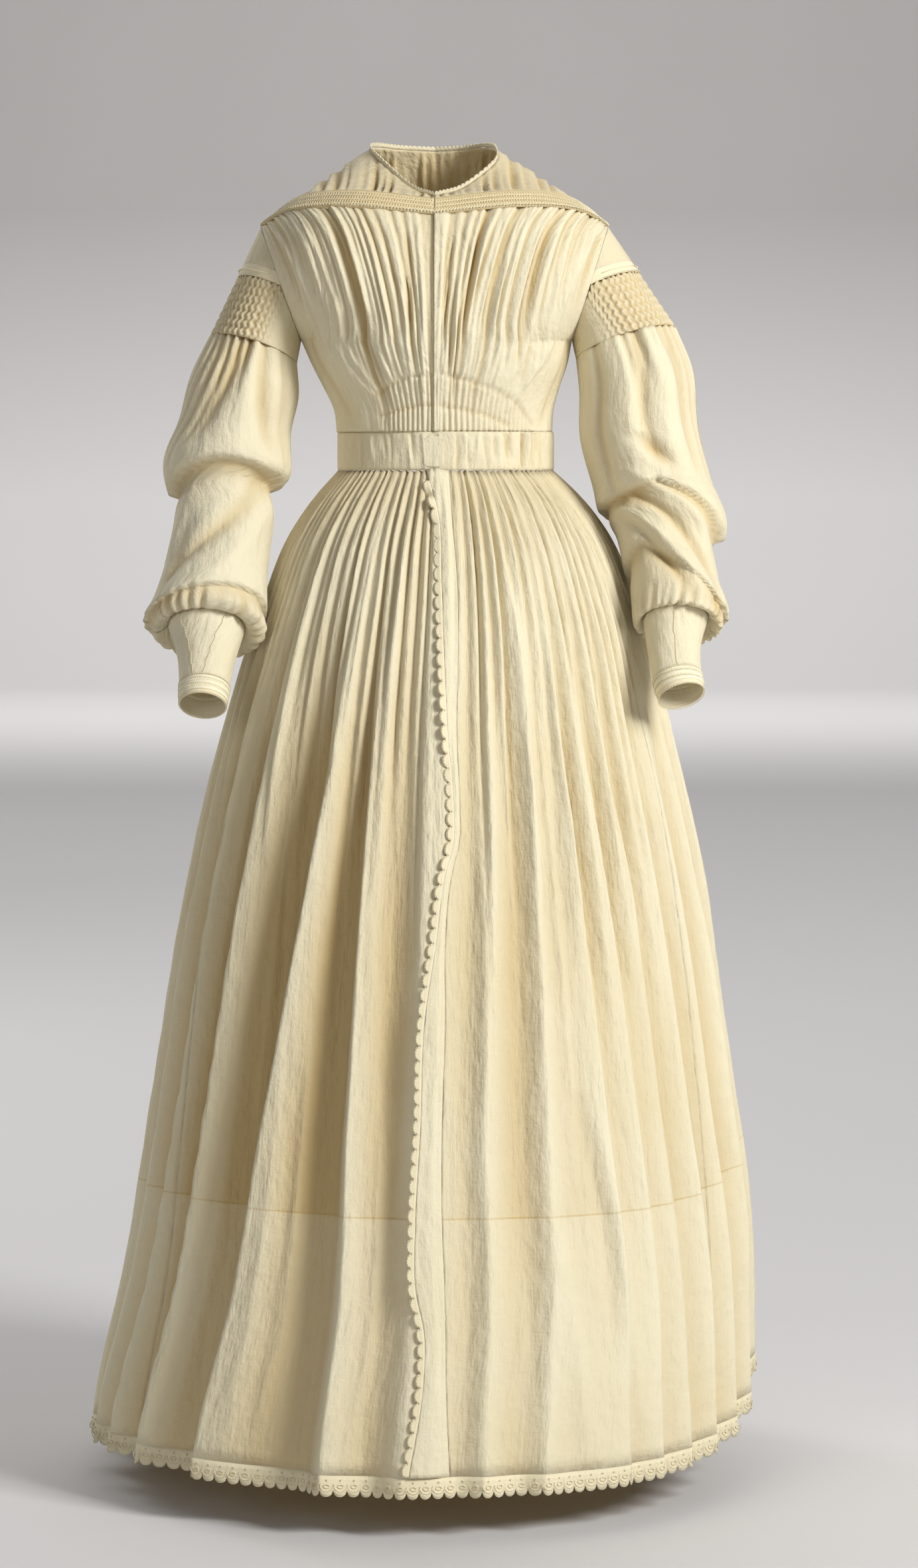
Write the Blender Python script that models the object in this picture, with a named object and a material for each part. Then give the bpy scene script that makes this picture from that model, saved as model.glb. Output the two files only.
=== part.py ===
# A long cotton day dress, worn and hollow: gathered bodice, falling yoke with a herringbone band,
# shirred sleeve heads, full sleeves on fitted cuffs, a waistband and a gathered floor-length skirt.
# Metres, +Z up. The origin is the middle of the neck opening on the line of the shoulders.
# The front faces -Y, and the side names follow the wearer: r is at -X and l is at +X.

import math

import bmesh
import bpy
import numpy as np

# Cloth and seams
WALL = 0.0016
TRIM_WALL = 0.0013
SEAM = 0.0003
LAP = 0.0030

# Heights of the main seams
WAIST_TOP = -0.2460
WAIST_SEAM = -0.2860
UNDERARM = -0.1500
SHOULDER = -0.0310
HEM = -1.2815
CHEST = -0.1000
SKIRT_ROWS = (0, 0.025, 0.06, 0.14, 0.27, 0.45, 0.65, 0.83, 1)
BODICE_ROWS = (0, 0.10, 0.20, 0.30, 0.40, 0.60, 0.80, 1)
EDGING_DROP = 0.0210

# Widths at the armholes, for the wearer's right (-1) and left (1)
UNDERARM_X = {-1: 0.1400, 1: 0.1440}
SHOULDER_X = 0.1815
ARMHOLE_DEPTH = 0.0560

# The share of a bodice panel's height that lies under the armhole
UNDER_SHARE = 0.40

# Counts of what repeats
SKIRT_COLUMNS = 144
HEM_SCALLOPS = 120
PLACKET_SCALLOPS = 48
FRONT_PLEATS = 12
BACK_PLEATS = 12
SHIRRING_PLEATS = 13

RIGHT_ANGLE = math.pi / 2


def columns(names, *rows):
    """A table as one array for each named column; its first column is the key."""
    return dict(zip(names.split(), np.array(rows, float).T))


def smooth(table, name, at):
    """A smooth value of one column at a key, from cubic pieces through the rows."""
    keys = next(iter(table.values()))
    values = table[name]
    slopes = np.gradient(values, keys)
    at = np.clip(at, keys[0], keys[-1])
    low = np.clip(np.searchsorted(keys, at, side="right") - 1, 0, len(keys) - 2)
    step = keys[low + 1] - keys[low]
    t = (at - keys[low]) / step
    rise = values[low + 1] - values[low]
    start, end = slopes[low] * step, slopes[low + 1] * step
    return values[low] + t * start + t**2 * (3 * rise - 2 * start - end) + t**3 * (start + end - 2 * rise)


def ease(low, high, at):
    """0 below low and 1 above high, smooth between."""
    t = np.clip((at - low) / (high - low), 0, 1)
    return t * t * (3 - 2 * t)


def mix(a, b, share):
    return a + (b - a) * share


# Sections of the skirt: fall is 0 at the waist seam and 1 at the hem of the cloth
SKIRT = columns(
    "fall   middle   half    front   back",
    (0.000, 0.0115, 0.1130, 0.0900, 0.0880),
    (0.025, 0.0130, 0.1370, 0.1060, 0.1180),
    (0.060, 0.0135, 0.1620, 0.1260, 0.1560),
    (0.140, 0.0135, 0.1970, 0.1580, 0.2090),
    (0.270, 0.0100, 0.2350, 0.1980, 0.2650),
    (0.450, 0.0090, 0.2750, 0.2450, 0.3150),
    (0.650, 0.0080, 0.3050, 0.2920, 0.3620),
    (0.830, 0.0040, 0.3300, 0.3310, 0.4010),
    (1.000, -0.0135, 0.3515, 0.3620, 0.4320),
    (1.030, -0.0145, 0.3535, 0.3660, 0.4360),
)

# How far the hem is raised over its front, by the angle round the skirt in degrees
HEM_RAISE = columns(
    "turn   raise",
    (-180, 0.0600),
    (-130, 0.0050),
    (-100, -0.0120),
    (-80, -0.0020),
    (0, 0.0000),
    (60, 0.0080),
    (88, 0.0420),
    (112, 0.1040),
    (135, 0.0800),
    (180, 0.0600),
)

# Where the skirt's back swings out, on the wearer's left
FLARE, FLARE_TURN, FLARE_WIDTH = 0.019, 112, 17

# The skirt's large folds: their crests' angles in degrees at three heights, how deep the valley
# beside them is, and their lean: -1 is steep towards -X, 1 is steep towards +X
FOLDS = columns(
    "knee    shin    hem     depth   lean",
    (-172.0, -172.0, -172.0, 0.0260, 0),
    (-154.0, -152.0, -150.0, 0.0240, -1),
    (-136.0, -134.0, -132.0, 0.0280, 0),
    (-118.0, -118.0, -117.0, 0.0220, 1),
    (-101.0, -103.0, -104.0, 0.0200, 0),
    (-86.0, -89.0, -91.0, 0.0180, -1),
    (-73.0, -75.0, -77.0, 0.0180, -1),
    (-61.0, -64.0, -67.0, 0.0240, -1),
    (-49.0, -53.0, -56.0, 0.0340, -1),
    (-28.0, -37.0, -41.0, 0.0260, -1),
    (-17.5, -18.0, -16.5, 0.0240, -1),
    (-3.0, -5.0, -3.0, 0.0100, 0),
    (11.5, 8.0, 10.5, 0.0200, -1),
    (21.0, 20.5, 21.0, 0.0080, 0),
    (30.0, 33.5, 37.0, 0.0120, 1),
    (37.0, 41.0, 44.5, 0.0130, 1),
    (44.5, 48.0, 52.0, 0.0120, 1),
    (53.5, 56.0, 60.0, 0.0120, 1),
    (63.0, 65.0, 69.0, 0.0120, 0),
    (75.0, 77.0, 80.0, 0.0140, 0),
    (90.0, 92.0, 93.0, 0.0200, 0),
    (107.0, 109.0, 110.0, 0.0240, 1),
    (124.0, 126.0, 127.0, 0.0240, 0),
    (141.0, 142.0, 142.0, 0.0260, -1),
    (157.0, 157.0, 157.0, 0.0240, 0),
)
FOLD_LEVELS = np.array([0.30, 0.68, 1.00])
FOLD_START, FOLD_FULL = 0.05, 0.55
VALLEY_SHIFT = 0.135

# Small gathers under the waist seam: their height over the fall of the skirt
GATHERS = columns(
    "fall  height",
    (0.000, 0.0010),
    (0.020, 0.0022),
    (0.060, 0.0030),
    (0.140, 0.0030),
    (0.270, 0.0018),
    (0.450, 0.0006),
    (0.650, 0.0000),
    (1.030, 0.0000),
)

# The opening's lapped edge and the seam of its facing strip, as distances from the middle plane
OPENING = columns(
    "fall   edge     seam",
    (0.000, -0.0080, 0.0150),
    (0.050, 0.0050, 0.0185),
    (0.110, 0.0075, 0.0235),
    (0.190, 0.0103, 0.0246),
    (0.270, 0.0145, 0.0235),
    (0.340, 0.0205, 0.0270),
    (0.375, 0.0205, 0.0265),
    (0.410, 0.0115, 0.0180),
    (0.480, 0.0020, 0.0115),
    (0.550, -0.0085, 0.0118),
    (0.660, -0.0130, 0.0085),
    (0.750, -0.0178, 0.0085),
    (0.820, -0.0172, 0.0112),
    (0.860, -0.0090, 0.0122),
    (0.910, -0.0100, 0.0127),
    (1.000, -0.0245, 0.0165),
)

# Seams of the skirt's five widths in degrees from the centre front, and the lap under the opening
FRONT_SEAM, BACK_SEAM = 62.5, 122.5
UNDERLAP = 0.0080
CALM_TURN = 0.12

# Scallops: how far the notches reach against the tips on the hem, and the notch and tip elsewhere
TOOTH_RATIO = 0.74
PLACKET_TOOTH = (0.0055, 0.0085)
NECK_TOOTH = (0.0036, 0.0050)
WRIST_NOTCH = 0.0014

# The waistband's lapped end, and the tab over it, in degrees and heights
WAIST_LAP = -4.0
TAB_TURNS = (-11.5, -1.0)
TAB_LEVELS = (WAIST_SEAM + 0.0035, WAIST_TOP - 0.0050)

# The bodice by its rise from the waistband (0) to the yoke's band (1)
BODICE = columns(
    "rise   front   back",
    (0.000, 0.0900, 0.0870),
    (0.120, 0.0960, 0.0890),
    (0.280, 0.1090, 0.0930),
    (0.400, 0.1180, 0.0970),
    (0.600, 0.1220, 0.1010),
    (0.800, 0.1140, 0.1000),
    (1.000, 0.0960, 0.0930),
)

# The side seam under the armhole: how far each side stands from the middle plane
SIDE_SEAM = columns(
    "rise   right   left",
    (0.000, 0.1030, 0.1235),
    (0.100, 0.1060, 0.1250),
    (0.200, 0.1170, 0.1310),
    (0.300, 0.1290, 0.1390),
    (0.400, 0.1400, 0.1440),
)

# The opening angle of the armhole edge, seen along the bodice's section
EDGE_ANGLE = columns(
    "rise   angle",
    (0.000, 90.0),
    (0.400, 90.0),
    (0.550, 76.0),
    (0.700, 70.0),
    (0.850, 74.0),
    (1.000, 90.0),
)

# Three lines round the shoulders, by the angle from the centre front in degrees:
# the neck's edge, and the upper and lower edges of the herringbone band
NECK = columns(
    "turn  out     aside    fore     up",
    (0, 0.0000, 0.0000, -0.0830, -0.0040),
    (30, 0.0265, 0.0030, -0.0680, 0.0050),
    (60, 0.0585, 0.0045, -0.0370, 0.0325),
    (90, 0.0660, -0.0015, 0.0000, 0.0490),
    (120, 0.0570, -0.0030, 0.0350, 0.0540),
    (150, 0.0340, -0.0020, 0.0590, 0.0530),
    (180, 0.0000, 0.0000, 0.0700, 0.0520),
)
BAND_TOP = columns(
    "turn  out     aside    fore     up",
    (0, 0.0000, 0.0000, -0.0950, -0.0070),
    (30, 0.0780, 0.0000, -0.0860, 0.0020),
    (60, 0.1350, 0.0000, -0.0560, -0.0010),
    (90, 0.1680, 0.0000, -0.0010, -0.0190),
    (120, 0.1430, 0.0000, 0.0500, -0.0060),
    (150, 0.0800, 0.0000, 0.0820, -0.0010),
    (180, 0.0000, 0.0000, 0.0920, -0.0040),
)
BAND_FOOT = columns(
    "turn  out     aside    fore     up",
    (0, 0.0000, 0.0000, -0.1010, -0.0230),
    (30, 0.0870, 0.0000, -0.0940, -0.0150),
    (60, 0.1490, 0.0000, -0.0620, -0.0170),
    (90, 0.1815, 0.0000, 0.0000, -0.0310),
    (120, 0.1560, 0.0000, 0.0560, -0.0200),
    (150, 0.0890, 0.0000, 0.0900, -0.0160),
    (180, 0.0000, 0.0000, 0.1000, -0.0210),
)
SHOULDER_SEAM = 90.0
YOKE_SWELL = 0.0025
LINE_TURNS = np.linspace(0, 180, 2 * BACK_PLEATS + 1)

# Rings of each sleeve under its shirring: way is the distance run, out is away from the middle
# plane, and tilt and lean turn the ring outwards and forwards, in degrees
SLEEVE_R = columns(
    "way    out     fore     up       half    deep    tilt  lean",
    (0.000, 0.1900, -0.0060, -0.1600, 0.0480, 0.0560, 18.0, 10.0),
    (0.035, 0.1980, -0.0080, -0.1930, 0.0570, 0.0640, 12.0, 6.0),
    (0.090, 0.2090, -0.0100, -0.2380, 0.0590, 0.0690, 9.0, 6.0),
    (0.140, 0.2185, -0.0150, -0.2890, 0.0650, 0.0690, 3.0, 11.0),
    (0.160, 0.2200, -0.0180, -0.3090, 0.0560, 0.0600, -4.0, 15.0),
    (0.185, 0.2200, -0.0250, -0.3320, 0.0530, 0.0580, 2.0, 20.0),
    (0.235, 0.2250, -0.0430, -0.3740, 0.0525, 0.0600, 5.0, 27.0),
    (0.305, 0.2340, -0.0780, -0.4310, 0.0590, 0.0610, 4.0, 35.0),
    (0.335, 0.2370, -0.0900, -0.4510, 0.0630, 0.0560, 3.0, 38.0),
    (0.352, 0.2365, -0.0900, -0.4550, 0.0500, 0.0440, 2.0, 38.0),
    (0.362, 0.2360, -0.0880, -0.4480, 0.0400, 0.0370, 2.0, 38.0),
)
SLEEVE_L = columns(
    "way    out     fore     up       half    deep    tilt  lean",
    (0.000, 0.2005, -0.0060, -0.1530, 0.0550, 0.0560, 18.0, 10.0),
    (0.035, 0.2105, -0.0080, -0.1880, 0.0605, 0.0640, 12.0, 6.0),
    (0.100, 0.2155, -0.0110, -0.2490, 0.0630, 0.0700, 7.0, 7.0),
    (0.150, 0.2285, -0.0150, -0.2990, 0.0620, 0.0690, 6.0, 11.0),
    (0.200, 0.2415, -0.0260, -0.3420, 0.0625, 0.0660, -4.0, 18.0),
    (0.225, 0.2420, -0.0360, -0.3620, 0.0545, 0.0570, -14.0, 22.0),
    (0.255, 0.2460, -0.0490, -0.3880, 0.0515, 0.0540, -18.0, 26.0),
    (0.300, 0.2540, -0.0720, -0.4270, 0.0510, 0.0520, -12.0, 31.0),
    (0.328, 0.2530, -0.0830, -0.4470, 0.0460, 0.0460, -4.0, 32.0),
    (0.340, 0.2510, -0.0820, -0.4450, 0.0390, 0.0395, 0.0, 32.0),
    (0.348, 0.2500, -0.0800, -0.4390, 0.0340, 0.0350, 2.0, 32.0),
)
CUFF_R = columns(
    "way    out     fore     up       half    deep    tilt  lean",
    (0.000, 0.2360, -0.0882, -0.4483, 0.0400, 0.0370, 2.0, 38.0),
    (0.040, 0.2350, -0.1080, -0.4800, 0.0300, 0.0300, 2.0, 36.0),
    (0.070, 0.2362, -0.1240, -0.5060, 0.0262, 0.0272, 3.0, 34.0),
    (0.095, 0.2375, -0.1370, -0.5270, 0.0245, 0.0262, 4.0, 34.0),
)
CUFF_L = columns(
    "way    out     fore     up       half    deep    tilt  lean",
    (0.000, 0.2500, -0.0802, -0.4393, 0.0340, 0.0350, 2.0, 32.0),
    (0.040, 0.2478, -0.0990, -0.4710, 0.0275, 0.0285, 4.0, 32.0),
    (0.070, 0.2500, -0.1140, -0.4960, 0.0255, 0.0265, 10.0, 32.0),
    (0.095, 0.2540, -0.1250, -0.5170, 0.0245, 0.0255, 16.0, 32.0),
)
WRISTBAND_START = 0.074
WRISTBAND_END = 0.0905
HEAD_TILT, HEAD_LEAN = 18.0, 10.0
HEAD_BAND, HEAD_SHIRRING, HEAD_END = 0.046, 0.058, 0.128
CAP_COLUMNS = np.arange(-6, 6)
BAND_COLUMNS = np.arange(-7, 7)
BAG_CORE = 0.76
SMOCKING, SLEEVE_GATHER, YOKE_GATHER = 0.0018, 0.0035, 0.0022
NECK_SCALLOPS = 26


def skirt(turn, fall):
    """The outer form of the skirt through its crests, and under its hem."""
    half = smooth(SKIRT, "half", fall)
    reach = np.where(np.cos(turn) > 0, smooth(SKIRT, "front", fall), smooth(SKIRT, "back", fall))
    low = HEM + smooth(HEM_RAISE, "raise", np.degrees(turn))
    flare = FLARE * np.exp(-(((np.degrees(turn) - FLARE_TURN) / FLARE_WIDTH) ** 2)) * ease(0.55, 0.95, fall)
    x = smooth(SKIRT, "middle", fall) + half * np.sin(turn) + flare
    return np.stack([x, -reach * np.cos(turn), mix(WAIST_SEAM - SEAM, low, fall)], -1)


def skirt_turn(x, fall):
    """The angle at which the front of the skirt stands this far from the middle plane."""
    return np.arcsin((x - smooth(SKIRT, "middle", fall)) / smooth(SKIRT, "half", fall))


def crest_turns(fall):
    """The angle of every large crest at this fall, with the first one again a full turn on."""
    turns = [
        np.interp(fall, FOLD_LEVELS, [FOLDS["knee"][i], FOLDS["shin"][i], FOLDS["hem"][i]])
        for i in range(len(FOLDS["knee"]))
    ]
    return turns + [turns[0] + 360]


def large_folds(turn, fall):
    """How far the cloth lies behind its crests."""
    degrees = np.degrees(turn)
    degrees = np.where(degrees < crest_turns(fall)[0], degrees + 360, degrees)
    crests = crest_turns(fall)
    lift = np.zeros_like(degrees)
    for i in range(len(crests) - 1):
        j = (i + 1) % len(FOLDS["lean"])
        valley = 0.5 - VALLEY_SHIFT * (FOLDS["lean"][i] + FOLDS["lean"][j])
        depth = (FOLDS["depth"][i] + FOLDS["depth"][j]) / 2
        t = (degrees - crests[i]) / (crests[i + 1] - crests[i])
        beside = np.clip(np.where(t < valley, t / valley, (1 - t) / (1 - valley)), 0, 1)
        fallen = 0.5 * np.sin(RIGHT_ANGLE * beside) + 0.25 * (1 - np.cos(math.pi * beside))
        lift = np.where((t >= 0) & (t <= 1), -depth * fallen, lift)
    return lift * ease(FOLD_START, FOLD_FULL, fall)


def front_calm(turn):
    """The folds lie lower along the front opening."""
    return 1 - 0.75 * np.exp(-((turn / CALM_TURN) ** 2))


def skirt_lift(turn, fall, column):
    """Large folds, with the small gathers as a crest or a valley at every other column."""
    small = np.where(column % 2 == 0, 0, -2) * smooth(GATHERS, "height", fall)
    return (large_folds(turn, fall) + small) * front_calm(turn)


def shoulder_line(table, turn):
    """A line round the shoulders in degrees from the centre front, negative on the wearer's right.

    It is straight between set angles, so that what meets along it has one edge.
    """
    side = np.where(turn < 0, -1, 1)
    out, aside, fore, up = (
        np.interp(np.abs(turn), LINE_TURNS, smooth(table, name, LINE_TURNS))
        for name in ("out", "aside", "fore", "up")
    )
    return np.stack([side * out + aside, fore, up], -1)


def armhole(side, angle):
    """The armhole's edge: angle 0 is the shoulder, a right angle the front, a half turn the underarm."""
    middle_x = (SHOULDER_X + UNDERARM_X[side]) / 2
    half_x = (SHOULDER_X - UNDERARM_X[side]) / 2
    x = middle_x + half_x * np.cos(angle)
    z = (SHOULDER + UNDERARM) / 2 + (SHOULDER - UNDERARM) / 2 * np.cos(angle)
    return np.stack([side * x, -ARMHOLE_DEPTH * np.sin(angle), z], -1)


def side_edge(side, face, rise):
    """The side seam up to the underarm, and the armhole's front (face 1) or back (-1) above it."""
    seam_x = side * smooth(SIDE_SEAM, "left" if side > 0 else "right", rise)
    seam = np.stack([seam_x, 0 * rise, mix(WAIST_TOP, UNDERARM, rise / UNDER_SHARE)], -1)
    above = armhole(side, face * math.pi * (1 - np.clip((rise - UNDER_SHARE) / (1 - UNDER_SHARE), 0, 1)))
    return np.where((rise < UNDER_SHARE)[..., None], seam, above)


def bodice_section(side, face, across, rise):
    """A bodice panel as bent sections between the middle and its side edge."""
    edge = side_edge(side, face, rise)
    angle = np.radians(smooth(EDGE_ANGLE, "angle", rise))
    reach = smooth(BODICE, "front" if face > 0 else "back", rise)
    wide = edge[..., 0] / np.sin(angle)
    deep = (reach + face * edge[..., 1]) / (1 - np.cos(angle))
    x = wide * np.sin(across * angle)
    y = -face * (reach - deep * (1 - np.cos(across * angle)))
    return np.stack([x, y, mix(mix(WAIST_TOP, BAND_FOOT["up"][0], rise), edge[..., 2], across)], -1)


def bodice(side, face, across, rise):
    """The outer form of a bodice panel, brought to the foot of the band at its top.

    across is 0 at the middle and 1 at the side seam and armhole; face is 1 in front.
    """
    turn = side * (90 * across if face > 0 else 180 - 90 * across)
    top = shoulder_line(BAND_FOOT, turn)
    top[..., 0] = np.where(across < 1e-9, 0, top[..., 0])
    top[..., 2] -= SEAM
    drawn = top - bodice_section(side, face, across, np.ones_like(rise))
    return bodice_section(side, face, across, rise) + drawn * ease(0.45, 1.0, rise)[..., None]


def front_gather(across, rise):
    """Where the pleats of the front run: spread under the yoke, drawn to the middle at the waist."""
    drawn = 1 - ease(0.15, 0.95, rise)
    return mix(across, 0.35 * across + 0.65 * across**2, drawn)


def bodice_lift(across, rise, column, reach):
    """Pleats as every other column, which fade towards the side seam low down."""
    height = 0.0010 + 0.0026 * np.sin(math.pi * np.clip(rise, 0, 1))
    near = 1 - ease(reach, reach + 0.18, across) * (1 - ease(0.45, 0.95, rise))
    edge = ease(0, 0.05, across) * (1 - ease(0.95, 1.0, across))
    return np.where(column % 2 == 0, 0, -1) * height * near * edge


def yoke(turn, up):
    """The falling yoke: up is 0 at the band and 1 at the neck."""
    form = mix(shoulder_line(BAND_TOP, turn), shoulder_line(NECK, turn), up[..., None])
    form[..., 2] += YOKE_SWELL * np.sin(math.pi * up)
    return form


def band(turn, down):
    """The herringbone band: down is 0 at its upper edge and 1 at its foot."""
    return mix(shoulder_line(BAND_TOP, turn), shoulder_line(BAND_FOOT, turn), down[..., None])


def ring(side, table, angle, way):
    """A sleeve's ring: angle 0 is the outer side and a right angle the front."""
    tilt, lean = np.radians(smooth(table, "tilt", way)), np.radians(smooth(table, "lean", way))
    across = smooth(table, "half", way) * np.cos(angle)
    ahead = smooth(table, "deep", way) * np.sin(angle)
    rise = ahead * np.sin(lean)
    x = across * np.cos(tilt) - rise * np.sin(tilt)
    z = across * np.sin(tilt) + rise * np.cos(tilt)
    out, fore, up = (smooth(table, name, way) for name in ("out", "fore", "up"))
    return np.stack([side * (out + x), fore - ahead * np.cos(lean), up + z], -1)


def head_depth(side, point):
    """How far down the arm a point of the sleeve head lies, from the shoulder."""
    tilt, lean = math.radians(HEAD_TILT), math.radians(HEAD_LEAN)
    down = np.array([side * math.sin(tilt), -math.sin(lean) * 0.6, -math.cos(tilt)])
    return (point - np.array([side * SHOULDER_X, 0, SHOULDER])) @ down


def ring_middle(side, table, way):
    """The middle of a sleeve's ring."""
    out, fore, up = (smooth(table, name, way) for name in ("out", "fore", "up"))
    return np.stack([side * out, fore, up], -1)


def sleeve_table(side):
    return SLEEVE_L if side > 0 else SLEEVE_R


def sleeve_head(side, angle, depth):
    """Between the armhole and the first ring of the sleeve, at a depth down the arm."""
    top = armhole(side, angle)
    top[..., 0] += side * SEAM
    foot = ring(side, sleeve_table(side), angle, 0 * angle)
    start = head_depth(side, top)
    share = np.clip((depth - start) / (HEAD_END - start), 0, 1)
    return mix(top, foot, share[..., None])


def aim(points, core):
    """Unit directions from points to their core."""
    way = core - points
    return way / np.linalg.norm(way, axis=-1, keepdims=True)


def spine(points):
    """The torso's core: level with each point, but no higher than the chest."""
    core = np.zeros_like(points)
    core[..., 0] = 0.005
    core[..., 2] = np.minimum(points[..., 2], CHEST)
    return core


def skirt_core(points):
    """The skirt's core: lower than each point, and much lower just under the waist."""
    core = np.zeros_like(points)
    reach = np.hypot(points[..., 0], points[..., 1])
    drop = 0.12 + 0.85 * np.exp((points[..., 2] - WAIST_SEAM) / 0.07)
    core[..., 2] = points[..., 2] - drop * reach
    return core


def grid(u, v):
    """Two arrays with a row for each v and a column for each u."""
    return np.meshgrid(np.asarray(u, float), np.asarray(v, float))


def material(name, colour, roughness):
    made = bpy.data.materials.get(name) or bpy.data.materials.new(name)
    made.use_nodes = True
    shader = made.node_tree.nodes["Principled BSDF"]
    shader.inputs["Base Color"].default_value = (*colour, 1)
    shader.inputs["Roughness"].default_value = roughness
    return made


def cloth(name, points, lift, core, finish, thick=WALL, closed=False):
    """A wall between points lifted away from their core and the same points moved towards it.

    Neighbours share the core, so walls that meet at a seam never cross.
    """
    way = aim(points, core)
    outer = points - way * lift[..., None]
    return shell(name, outer, outer + way * thick, finish, closed)


def shell(name, outer, inner, finish, closed=False):
    """One closed mesh from two grids of points: their faces, and a rim round the edges."""
    rows, wide = outer.shape[:2]
    mesh = bmesh.new()
    out = [[mesh.verts.new(p) for p in row] for row in outer]
    ins = [[mesh.verts.new(p) for p in row] for row in inner]
    spans = wide if closed else wide - 1
    for j in range(spans):
        k = (j + 1) % wide
        for i in range(rows - 1):
            mesh.faces.new((out[i][j], out[i][k], out[i + 1][k], out[i + 1][j]))
            mesh.faces.new((ins[i][j], ins[i + 1][j], ins[i + 1][k], ins[i][k]))
        for i in (0, rows - 1):
            mesh.faces.new((out[i][j], ins[i][j], ins[i][k], out[i][k]))
    if not closed:
        for j in (0, wide - 1):
            for i in range(rows - 1):
                mesh.faces.new((out[i][j], out[i + 1][j], ins[i + 1][j], ins[i][j]))
    bmesh.ops.recalc_face_normals(mesh, faces=mesh.faces)
    data = bpy.data.meshes.new(name)
    mesh.to_mesh(data)
    mesh.free()
    data.materials.append(finish)
    made = bpy.data.objects.new(name, data)
    parts.objects.link(made)
    return made


def side_name(side):
    return "l" if side > 0 else "r"


def build_skirt():
    """Five widths of cloth, gathered into the waist seam."""
    rows = np.array(SKIRT_ROWS)
    front, back = math.radians(FRONT_SEAM), math.radians(BACK_SEAM)
    seam_turn = skirt_turn(smooth(OPENING, "seam", rows), rows)
    edge = smooth(OPENING, "edge", rows)
    lap_turn = skirt_turn(edge + np.minimum(UNDERLAP, 0.4 * (smooth(OPENING, "seam", rows) - edge)), rows)
    for name, start, end in (
        ("skirt_front_r", -front, lap_turn),
        ("skirt_front_l", seam_turn, front),
        ("skirt_side_r", -back, -front),
        ("skirt_side_l", front, back),
        ("skirt_back", back, 2 * math.pi - back),
    ):
        start, end = np.broadcast_to(start, len(rows)), np.broadcast_to(end, len(rows))
        count = 2 * round((end - start).mean() * SKIRT_COLUMNS / (4 * math.pi))
        column, fall = grid(np.arange(count + 1), rows)
        gap = SEAM / 2 / smooth(SKIRT, "half", fall)
        turn = mix(start[:, None] + gap, end[:, None] - gap, column / count)
        turn = np.where(turn > math.pi, turn - 2 * math.pi, turn)
        points = skirt(turn, fall)
        cloth(name, points, skirt_lift(turn, fall, column), skirt_core(points), cotton)


def build_hem():
    """The scalloped edging under the hem."""
    count = 2 * HEM_SCALLOPS
    turn, level = grid(np.linspace(-math.pi, math.pi, count, endpoint=False), [0, 1])
    length = WAIST_SEAM - HEM
    tooth = np.where(np.arange(count) % 2 == 0, 1, TOOTH_RATIO)
    fall = 1 + (SEAM + level * EDGING_DROP * tooth) / length
    points = skirt(turn, fall)
    lift = large_folds(turn, np.minimum(fall, 1)) * front_calm(turn)
    cloth("hem_edging", points, lift, skirt_core(points), lace, TRIM_WALL, closed=True)


def build_opening():
    """The facing strip down the front opening, and the scalloped edging along its lapped edge."""
    share, fall = grid([0, 0.5, 1], SKIRT_ROWS)
    x = mix(smooth(OPENING, "edge", fall), smooth(OPENING, "seam", fall) - SEAM / 2, share)
    turn = skirt_turn(x, fall)
    points = skirt(turn, fall)
    lift = large_folds(turn, fall) * front_calm(turn) + LAP * (1 - ease(0.5, 1, share))
    cloth("placket", points, lift, skirt_core(points), cotton)
    strip = points - aim(points, skirt_core(points)) * lift[..., None]
    count = 2 * PLACKET_SCALLOPS + 1
    falls = np.linspace(0.012, 0.999, count)
    edge, within = (
        np.stack([np.interp(falls, SKIRT_ROWS, strip[:, j, k]) for k in range(3)], -1) for j in (0, 1)
    )
    outwards = aim(within, edge)
    tooth = np.where(np.arange(count) % 2 == 0, *PLACKET_TOOTH)[:, None]
    points = np.stack([edge + outwards * tooth, edge + outwards * SEAM], 1)
    cloth("placket_edging", points, 0 * points[..., 0], skirt_core(points), lace, TRIM_WALL)


def waist_form(turn, z):
    """The waistband's upright section."""
    reach = np.where(np.cos(turn) > 0, SKIRT["front"][0], SKIRT["back"][0])
    x = SKIRT["middle"][0] + SKIRT["half"][0] * np.sin(turn)
    return np.stack([x, -reach * np.cos(turn), z], -1)


def build_waistband():
    """Front and back lengths of the band, and the tab that laps its front end."""
    levels = [WAIST_SEAM, WAIST_TOP - SEAM]
    side, lap, gap = math.radians(88), math.radians(WAIST_LAP), SEAM / SKIRT["half"][0]
    for name, start, end, count in (
        ("waistband_front_r", -side, lap - gap, 11),
        ("waistband_front_l", lap, side, 13),
        ("waistband_back", side + gap, 2 * math.pi - side - gap, 21),
    ):
        turn, z = grid(np.linspace(start, end, count), levels)
        points = waist_form(turn, z)
        cloth(name, points, 0 * turn, spine(points), cotton)
    across, level = grid(np.linspace(0, 1, 5), np.linspace(0, 1, 4))
    turn = np.radians(mix(*TAB_TURNS, across))
    corner = 0.004 * np.abs(2 * across - 1) ** 4 * (2 * level - 1) ** 3
    points = waist_form(turn, mix(*TAB_LEVELS, level) - corner)
    cloth("waist_tab", points, 0 * turn + WALL + SEAM, spine(points), cotton)


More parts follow.
